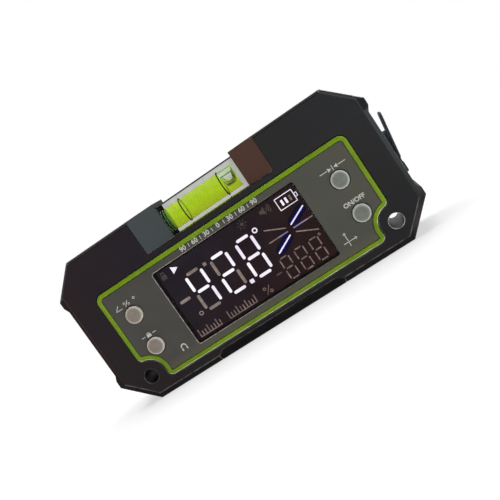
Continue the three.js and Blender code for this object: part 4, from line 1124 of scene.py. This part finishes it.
# Ring lines: black enamel, brushed into the grooves
ringEnamel = finish("enamel_brushed_black", "#101010", "#1a1a1a", blotch=0.8, grain=0.3, relief=0.004,
                    roughness=(0.35, 0.5))


def bubbleMesh(size, centre, fullness, steps=48):  # between an ellipsoid (2) and a box with round corners
    profile = [(sin(pi * i / steps) / 2, -cos(pi * i / steps) / 2) for i in range(steps + 1)]
    profile[0], profile[-1] = (0, -0.5), (0, 0.5)
    bm = addTurned(profile, (0, 0), faceZ, steps)
    for vertex in bm.verts:
        way = vertex.co.normalized()
        reach = sum(abs(part) ** fullness for part in way) ** (-1 / fullness)
        vertex.co = Vector(centre) * mm + Vector(w * reach * side * mm / 2 for w, side in zip(way, size))
    return toMesh("bubble", bm)


vialLow, vialHigh, vialMiddle = boxOf("vial_block")
vialAxis = (vialMiddle.y, vialMiddle.z - vial["boreDrop"])


def column(radius, start, end, steps=96):
    profile = [(0, start), (radius, start), (radius, end), (0, end)]
    return toMesh("column", addTurned(profile, vialAxis, faceX, steps))


def fromAxis(place):
    return hypot(place.y - vialAxis[0], place.z - vialAxis[1])


def buildBlock(radius):
    size = vialHigh - vialLow
    outline = rounded(size.y, size.z, vial["corner"], (vialMiddle.y, vialMiddle.z), 4)
    block = toMesh("block", addPlate([outline], chamfered(vialLow.x, vialHigh.x, vial["edge"]), faceX))
    bored = bmeshOf(cutMesh(block, column(radius, vialLow.x - 2, vial["boreEnd"], 72)))
    for face in bored.faces:
        place, way = centreOf(face), face.normal
        inside = fromAxis(place) < radius + 0.01 and vialLow.x + 0.1 < place.x < vial["boreEnd"] + 0.01
        corner = fromAxis(place) > radius + 0.5 and abs(way.y) > 0.1 and way.z > 0.1
        face.material_index = 1 if inside else 2 if corner else 0
    addPiece("clear_block", bored, [clearAcrylic, wettedAcrylic, shadedCornerAcrylic],
             replaced=["vial_block"])


def buildFluid(reach):
    start, end, film = vial["boreStart"], vial["boreEnd"] - vial["wallGap"], vial["film"]
    middleX, middleZ = vial["bubbleMiddle"]
    whole = bubbleMesh(vial["bubble"], (middleX, vialAxis[0], middleZ), vial["bubbleFullness"])
    bubble = cutMesh(whole, column(reach - film, start + 1, end - film), "INTERSECT")
    fluid = bmeshOf(cutMesh(column(reach, start, end), bubble))
    air = fluid.faces.layers.float.new("air")
    for face in fluid.faces:
        place = centreOf(face)
        wall = fromAxis(place) > reach - film / 2 - 0.01 or not start + 0.1 < place.x < end - film / 2
        face[air] = 0 if wall else 1
    mesh = toMesh("lime_fluid", fluid)
    for face, free in zip(mesh.polygons, mesh.attributes["air"].data):  # the hollow faces the air
        if free.value:
            face.flip()
    addPiece("lime_fluid", mesh, [limeSpirit], replaced=["vial_fluid"])


def buildPlug(reach):
    low, high, _ = boxOf("vial_plug")
    inner, outer, deep = vial["plugTip"]
    body, floor, (foot, top) = reach - vial["ribRise"], low.x + deep, vial["ribHalf"]
    profile = [(0, floor), (inner, floor), (outer, low.x), (reach - 0.5, low.x), (body, floor)]
    for rib in reversed(vial["ribs"]):
        profile += [(body, rib - foot), (reach, rib - top), (reach, rib + top), (body, rib + foot)]
    bm = addTurned(profile + [(body, high.x), (0, high.x)], vialAxis, faceX)
    for face in bm.faces:
        face.material_index = int(any(abs(centreOf(face).x - rib) < foot + 0.01 for rib in vial["ribs"]))
    addPiece("green_plug", bm, [nitrile, highlitNitrileRib], replaced=["vial_plug"])


def buildLine(side, radius):
    node = "vial_ring_" + side
    middle, half = boxOf(node)[2].x, vial["ringWidth"] / 2
    inner, outer = radius + 0.01, radius + vial["ringDepth"]
    rings = [(inner, middle - half), (outer, middle - half), (outer, middle + half), (inner, middle + half)]
    bm = addTurned(rings + rings[:1], vialAxis, faceX, 96)
    bmesh.ops.remove_doubles(bm, verts=bm.verts[:], dist=1e-8)
    addPiece("line_" + side, bm, [ringEnamel], replaced=[node])


buildBlock(vial["bore"] / 2)
buildFluid(vial["bore"] / 2 - vial["wallGap"])
buildPlug(vial["bore"] / 2 - vial["wallGap"])
for side in ("left", "right"):
    buildLine(side, vial["bore"] / 2)
print("vial built")

# Base plate with its magnets, and the screws of the casing and the base plate

base = {
    "edge": 0.2,
    "bare": (2.9, 9),            # edges above this and nearer the middle than this stay as they are
    "magnetEdge": 0.3,
    "crossLength": 0.32,         # of the head's diameter
    "crossWidth": 0.085,
    "crossTaper": 0.35,
}

# Aluminium, milled and black anodised: dark, with the run of the cutter along it
blackAluminium = finish("aluminium_anodised_black", "#17161a", "#1e1d20", blotch=6, grain=0.5, relief=0.006,
                        roughness=(0.32, 0.46), metallic=0.4, stretch=(0.06, 1, 1))
# Its edges, painted lighter than the black: a painted highlight
highlitAluminium = finish("aluminium_anodised_painted_highlight", "#7d7a78", "#3c3a3b", blotch=2.5, grain=0.5,
                         relief=0.006, roughness=(0.3, 0.42), metallic=0.7)
# Neodymium magnets, nickel plated: bright, with faint tumbling marks
nickel = finish("nickel_plated_magnet", "#c9cbcd", "#b5b8ba", blotch=3, grain=0.4, relief=0.004,
                roughness=(0.16, 0.28), metallic=1.0)
# Screws, zinc plated and black passivated: dark metal with brighter drive edges
blackZinc = finish("zinc_black_passivated", "#4a4b4e", "#3a3b3d", blotch=1.2, grain=0.25, relief=0.006,
                   roughness=(0.26, 0.4), metallic=1.0, worn=("#a9aaad", 0.8, 0.2))


def buildBase():
    floor, half = base["bare"]
    bm = softened("base_plate", base["edge"], lambda p: p.z < floor or abs(p.y) > half)
    addPiece("black_base", bm, [blackAluminium, blackAluminium, highlitAluminium],
             replaced=["base_plate"], sharp=50)
    edge = base["magnetEdge"]
    for number in range(1, 5):
        node = f"base_magnet_{number}"
        low, high, middle = boxOf(node)
        radius = (high.x - low.x) / 2
        bm = addTurned([
            (0, low.z), (radius - edge, low.z), (radius - edge * 0.3, low.z + edge * 0.3),
            (radius, low.z + edge), (radius, high.z - edge), (radius - edge, high.z), (0, high.z),
        ], (middle.x, middle.y), faceZ)
        addPiece(f"magnet_{number}", bm, [nickel], replaced=[node])


def addScrew(name, node, profile, centre, head, mouth, tip, place):  # a cross runs from mouth to tip
    long, wide = base["crossLength"] * head, base["crossWidth"] * head
    quarter = ((wide, long), (-wide, long), (-wide, wide))
    corners = []
    for _ in range(4):
        corners += quarter
        quarter = [(-b, a) for a, b in quarter]
    cross = [lambda inset: [(centre[0] + a * (1 - inset), centre[1] + b * (1 - inset)) for a, b in corners]]
    cutter = toMesh("cross", addPlate(cross, [(0.0, mouth), (base["crossTaper"], tip)], place))
    turned = toMesh("screw", addTurned(profile, centre, place, 40))
    addPiece(name, bmeshOf(cutMesh(turned, cutter)), [blackZinc], replaced=[node])


rearScrew = {
    "diameter": 2.6, "pitch": 0.9, "thread": 0.22, "crest": 0.35,  # the crest's share of the pitch
    "shank": 1.5, "head": 4.6, "headThickness": 1.8, "crossDepth": 1.0,
    "dome": (0.35, 0.45),    # how high over the seat it starts, and how much of the radius it takes
}
plateScrew = {
    "diameter": 2.0, "pitch": 0.7, "thread": 0.18, "crest": 0.4, "head": 3.8, "cone": 1.1,
    "threadFrom": 1.3, "plain": 2.2,  # from the head's face, and the length that has no thread
    "crossDepth": 0.8,
}
crossMouth = 0.5             # how far the cutter of a cross stands out of the head


def buildRearScrew(corner):
    node = "housing_screw_" + corner
    low, high, middle = boxOf(node)
    diameter, pitch, head, shank = (rearScrew[key] for key in ("diameter", "pitch", "head", "shank"))
    thick, seat = rearScrew["headThickness"], high.y - rearScrew["headThickness"]
    outer, root, (foot, taken) = diameter / 2, diameter / 2 - rearScrew["thread"], rearScrew["dome"]
    profile = [(0, low.y), (diameter / 6, low.y + 0.2)]
    for turn in range(int((seat - shank - low.y - diameter) / pitch)):
        start = low.y + diameter + turn * pitch
        profile += [(root, start), (outer, start + pitch * rearScrew["crest"])]
    profile += [(root, seat - shank), (root, seat), (head / 2 - 0.1, seat), (head / 2, seat + 0.15)]
    for turn in (pi / 8 * step for step in range(5)):
        profile.append((head / 2 * (1 - taken * (1 - cos(turn))), seat + foot + (thick - foot) * sin(turn)))
    addScrew("casing_screw_" + corner, node, profile + [(0, high.y)], (middle.x, middle.z), head,
             high.y + crossMouth, high.y - rearScrew["crossDepth"], faceY)


def buildPlateScrew(corner):
    node = "base_screw_" + corner
    low, high, middle = boxOf(node)
    radius, pitch, head = plateScrew["diameter"] / 2, plateScrew["pitch"], plateScrew["head"]
    profile = [(0, low.z + 0.02), (head / 2 - 0.15, low.z), (head / 2, low.z + 0.12),
               (radius, low.z + plateScrew["cone"])]
    for turn in range(int((high.z - low.z - plateScrew["plain"]) / pitch)):
        start = low.z + plateScrew["threadFrom"] + turn * pitch
        profile += [(radius - plateScrew["thread"], start), (radius, start + pitch * plateScrew["crest"])]
    profile += [(radius - 0.2, high.z - 0.7), (0, high.z)]
    addScrew("plate_screw_" + corner, node, profile, (middle.x, middle.y), head,
             low.z - crossMouth, low.z + plateScrew["crossDepth"], faceZ)


buildBase()
screwCorners = ("upper_left", "upper_right", "lower_left", "lower_right")
for corner in screwCorners:
    buildRearScrew(corner)
for corner in ("front_left", "front_right", "rear_left", "rear_right"):
    buildPlateScrew(corner)
print("base and screws built")

# Charging port: the rubber flap, its strap and its root; the socket behind keeps its CAD shape

flap = {
    "hingeX": 65.15,
    "hingeZ": 25.0,
    "restAngle": 8.0,
    "width": 8.4,
    "thickness": 0.9,
    "heel": 0.9,                 # where it starts above the hinge
    "reach": 18.2,
    "tipRadius": 2.0,
    "round": 0.25,
    "plug": (2.9, 10.6, 1.6),    # width, length, depth
    "plugCorner": 1.3,
    "plugTaper": (0.35, 0.4),    # how far it narrows, over the last part of its depth
    "plugMiddle": 6.2,
    "ribs": 3,
    "rib": (5.0, 0.45, 0.2),
    "ribPlace": (2.2, 0.14),     # of the first one from the tip, and how high they stand
    "strap": (-0.5, 1.3, 0.22),  # start from the root's top, end from the hinge, and half its thickness
    "strapInset": 0.5,
    "strapSteps": 10,
    "rootCorner": 0.9,
    "pin": (1.1, 0.8, 0.5),      # of the root: radius, radius of its tip, length of the tip
}

# Silicone rubber, moulded: matt blue-black, painted lighter and bluer: painted light
silicone = finish("silicone_moulded_black", "#32373b", "#3e4448", blotch=2.5, grain=0.35, relief=0.01,
                  roughness=(0.5, 0.7), ior=1.41, sheen=0.25)
# The same rubber on the lip that plugs the port, painted paler where it lies in shade: painted light
paleLitSilicone = finish("silicone_painted_light", "#76848c", "#626e76", blotch=1.5, grain=0.35, relief=0.01,
                        roughness=(0.45, 0.6), ior=1.41, sheen=0.25)

rootLow, rootHigh, rootMiddle = boxOf("port_flap_root")
hinge = Vector((flap["hingeX"], rootMiddle.y, flap["hingeZ"])) * mm


def flapLoop(inset):
    half, radius = flap["width"] / 2 - inset, flap["tipRadius"] - inset
    top, heel = flap["reach"] - inset, flap["heel"] + inset
    return [
        *arc((half - radius, top - radius), radius, 0, pi / 2, 8),
        *arc((radius - half, top - radius), radius, pi / 2, pi, 8),
        (-half, heel), (half, heel),
    ]


def buildFlap():
    half, edge = flap["thickness"] / 2, flap["round"]
    bm = addPlate([flapLoop], chamfered(-half, half, edge), faceX)
    width, length, depth = flap["plug"]
    lip, (taper, tip) = rounded(width, length, flap["plugCorner"], (0, flap["plugMiddle"])), flap["plugTaper"]
    # the lip takes the paler rubber: painted light
    addPlate([lip], [(0, -half), (0, -half - depth + tip), (taper, -half - depth)], faceX, 1, bm)
    below, high = flap["ribPlace"]
    for rib in range(flap["ribs"]):            # grip ribs near the tip
        outline = rounded(*flap["rib"], (0, flap["reach"] - below - rib), 3)
        addPlate([outline], [(0.08, half + high), (0, half - 0.02)], faceX, bm=bm)
    turn = Matrix.Translation(hinge) @ Matrix.Rotation(radians(flap["restAngle"]), 4, "Y")
    bmesh.ops.transform(bm, matrix=turn, verts=bm.verts[:])
    addPiece("rubber_flap", bm, [silicone, paleLitSilicone], "port_flap", ["port_flap"])


def buildRoot():
    edge, face, middle = flap["round"], rootHigh.x - flap["thickness"], (rootMiddle.y, rootMiddle.z)
    pad = rounded(flap["width"], rootHigh.z - rootLow.z, flap["rootCorner"], middle)
    bm = addPlate([pad], [(edge, rootHigh.x), (0, rootHigh.x - edge), (0, face)], faceX)
    wide, narrow, tip = flap["pin"]
    pin = [(0, face + 0.1), (wide, face + 0.1), (wide, rootLow.x + tip), (narrow, rootLow.x), (0, rootLow.x)]
    addTurned(pin, middle, faceX, 32, bm)
    addPiece("flap_root", bm, [silicone], replaced=["port_flap_root"])


def buildStrap():  # the thin web that bends when the real flap is opened, built as one fixed piece at the rest angle
    below, above, thin = flap["strap"]
    start, end = rootHigh.z + below, flap["hingeZ"] + above
    steps, half, seam = flap["strapSteps"], flap["width"] / 2 - flap["strapInset"], rootMiddle.y
    bm = bmesh.new()
    rings = []
    for step in range(steps + 1):
        z = start + (end - start) * step / steps
        x = flap["hingeX"] + max(0, z - flap["hingeZ"]) * tan(radians(flap["restAngle"]))
        rings.append([bm.verts.new(Vector((x + sideX * thin, seam + sideY * half, z)) * mm)
                      for sideX, sideY in ((-1, -1), (1, -1), (1, 1), (-1, 1))])
    for near, far in zip(rings, rings[1:]):
        joined(bm, near, far)
    bm.faces.new(rings[0])
    bm.faces.new(rings[-1])
    strap = addPiece("flap_strap", bm, [silicone], body=None)
    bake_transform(strap)


buildFlap()
buildRoot()
buildStrap()
print("flap built")

# Everything inside keeps its CAD shape, with its own finish: it shows when the casing is off

insides = {
    "display_gasket": finish(
        "foam_cut_closed_cell", "#4c4246", "#5c5054", blotch=0.8, grain=0.35, relief=0.08,
        roughness=(0.85, 1.0)),
    "display_backlight": finish(
        "acrylic_light_guide", "#e8e8e2", "#dcdcd4", blotch=5, grain=0.6, relief=0.01, roughness=(0.3, 0.45)),
    "display_holder": finish(
        "abs_moulded_white", "#e6e4dc", "#d6d4ca", blotch=6, grain=0.4, relief=0.01, roughness=(0.45, 0.6)),
    "display_contact_strip": finish(
        "rubber_layered_zebra", "#c9c2b4", "#2c2a28", blotch=0.3, grain=0.2, relief=0.01,
        roughness=(0.7, 0.85), stretch=(1, 0.02, 0.02)),
    "circuit_board": finish(
        "fibreglass_solder_masked", "#1d5a34", "#16492a", blotch=1.6, grain=0.7, relief=0.02,
        roughness=(0.28, 0.42)),
    "microcontroller": finish(
        "epoxy_moulded_black", "#1a1a1b", "#232325", blotch=2, grain=0.2, relief=0.008,
        roughness=(0.45, 0.6)),
    "buzzer": finish(
        "abs_moulded_black_satin", "#141415", "#1f1f20", blotch=3, grain=0.3, relief=0.01,
        roughness=(0.4, 0.5)),
    "charging_socket": finish(
        "steel_drawn_tin_plated", "#c4c6c8", "#aeb1b4", blotch=1.5, grain=0.3, relief=0.004,
        roughness=(0.2, 0.34), metallic=1.0, stretch=(0.1, 1, 1)),
    "battery_cell": finish(
        "foil_laminated_pouch", "#b9bcc0", "#a3a6aa", blotch=5, grain=2.5, relief=0.15, roughness=(0.25, 0.4),
        metallic=0.7),
    "battery_tape": finish(
        "foam_tape_white", "#d8d8d2", "#c6c6be", blotch=1.5, grain=0.4, relief=0.05, roughness=(0.8, 0.95)),
    "battery_connector": finish(
        "nylon_moulded_natural", "#e9e6da", "#dad6c8", blotch=2, grain=0.3, relief=0.008,
        roughness=(0.4, 0.55)),
    "battery_lead_plus": finish(
        "pvc_extruded_red", "#b02020", "#9a1a1a", blotch=2, grain=0.3, relief=0.006, roughness=(0.35, 0.5)),
    "battery_lead_minus": finish(
        "pvc_extruded_black", "#151515", "#1e1e1e", blotch=2, grain=0.3, relief=0.006, roughness=(0.35, 0.5)),
    "unit_plunger": finish(
        "acetal_turned_cream", "#c8c4b8", "#bab6aa", blotch=1, grain=0.3, relief=0.006,
        roughness=(0.35, 0.5)),
    **{"board_screw_" + corner: blackZinc for corner in screwCorners},
}
sameFinish = {
    "tilt_sensor": "microcontroller",
    "charging_tongue": "microcontroller",
    **{name + "_switch": "buzzer" for name in buttonNames},
    **{name + "_plunger": "unit_plunger" for name in buttonNames[1:]},
}


def dressInsides():
    made = {**insides, **{node: insides[like] for node, like in sameFinish.items()}}
    for node, material in made.items():
        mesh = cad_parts[node].data
        mesh.materials.clear()
        mesh.materials.append(material)
    bare = [name for name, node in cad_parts.items() if not node.hide_render and name not in made]
    print("nodes without a finish:", bare)


dressInsides()

print("done")
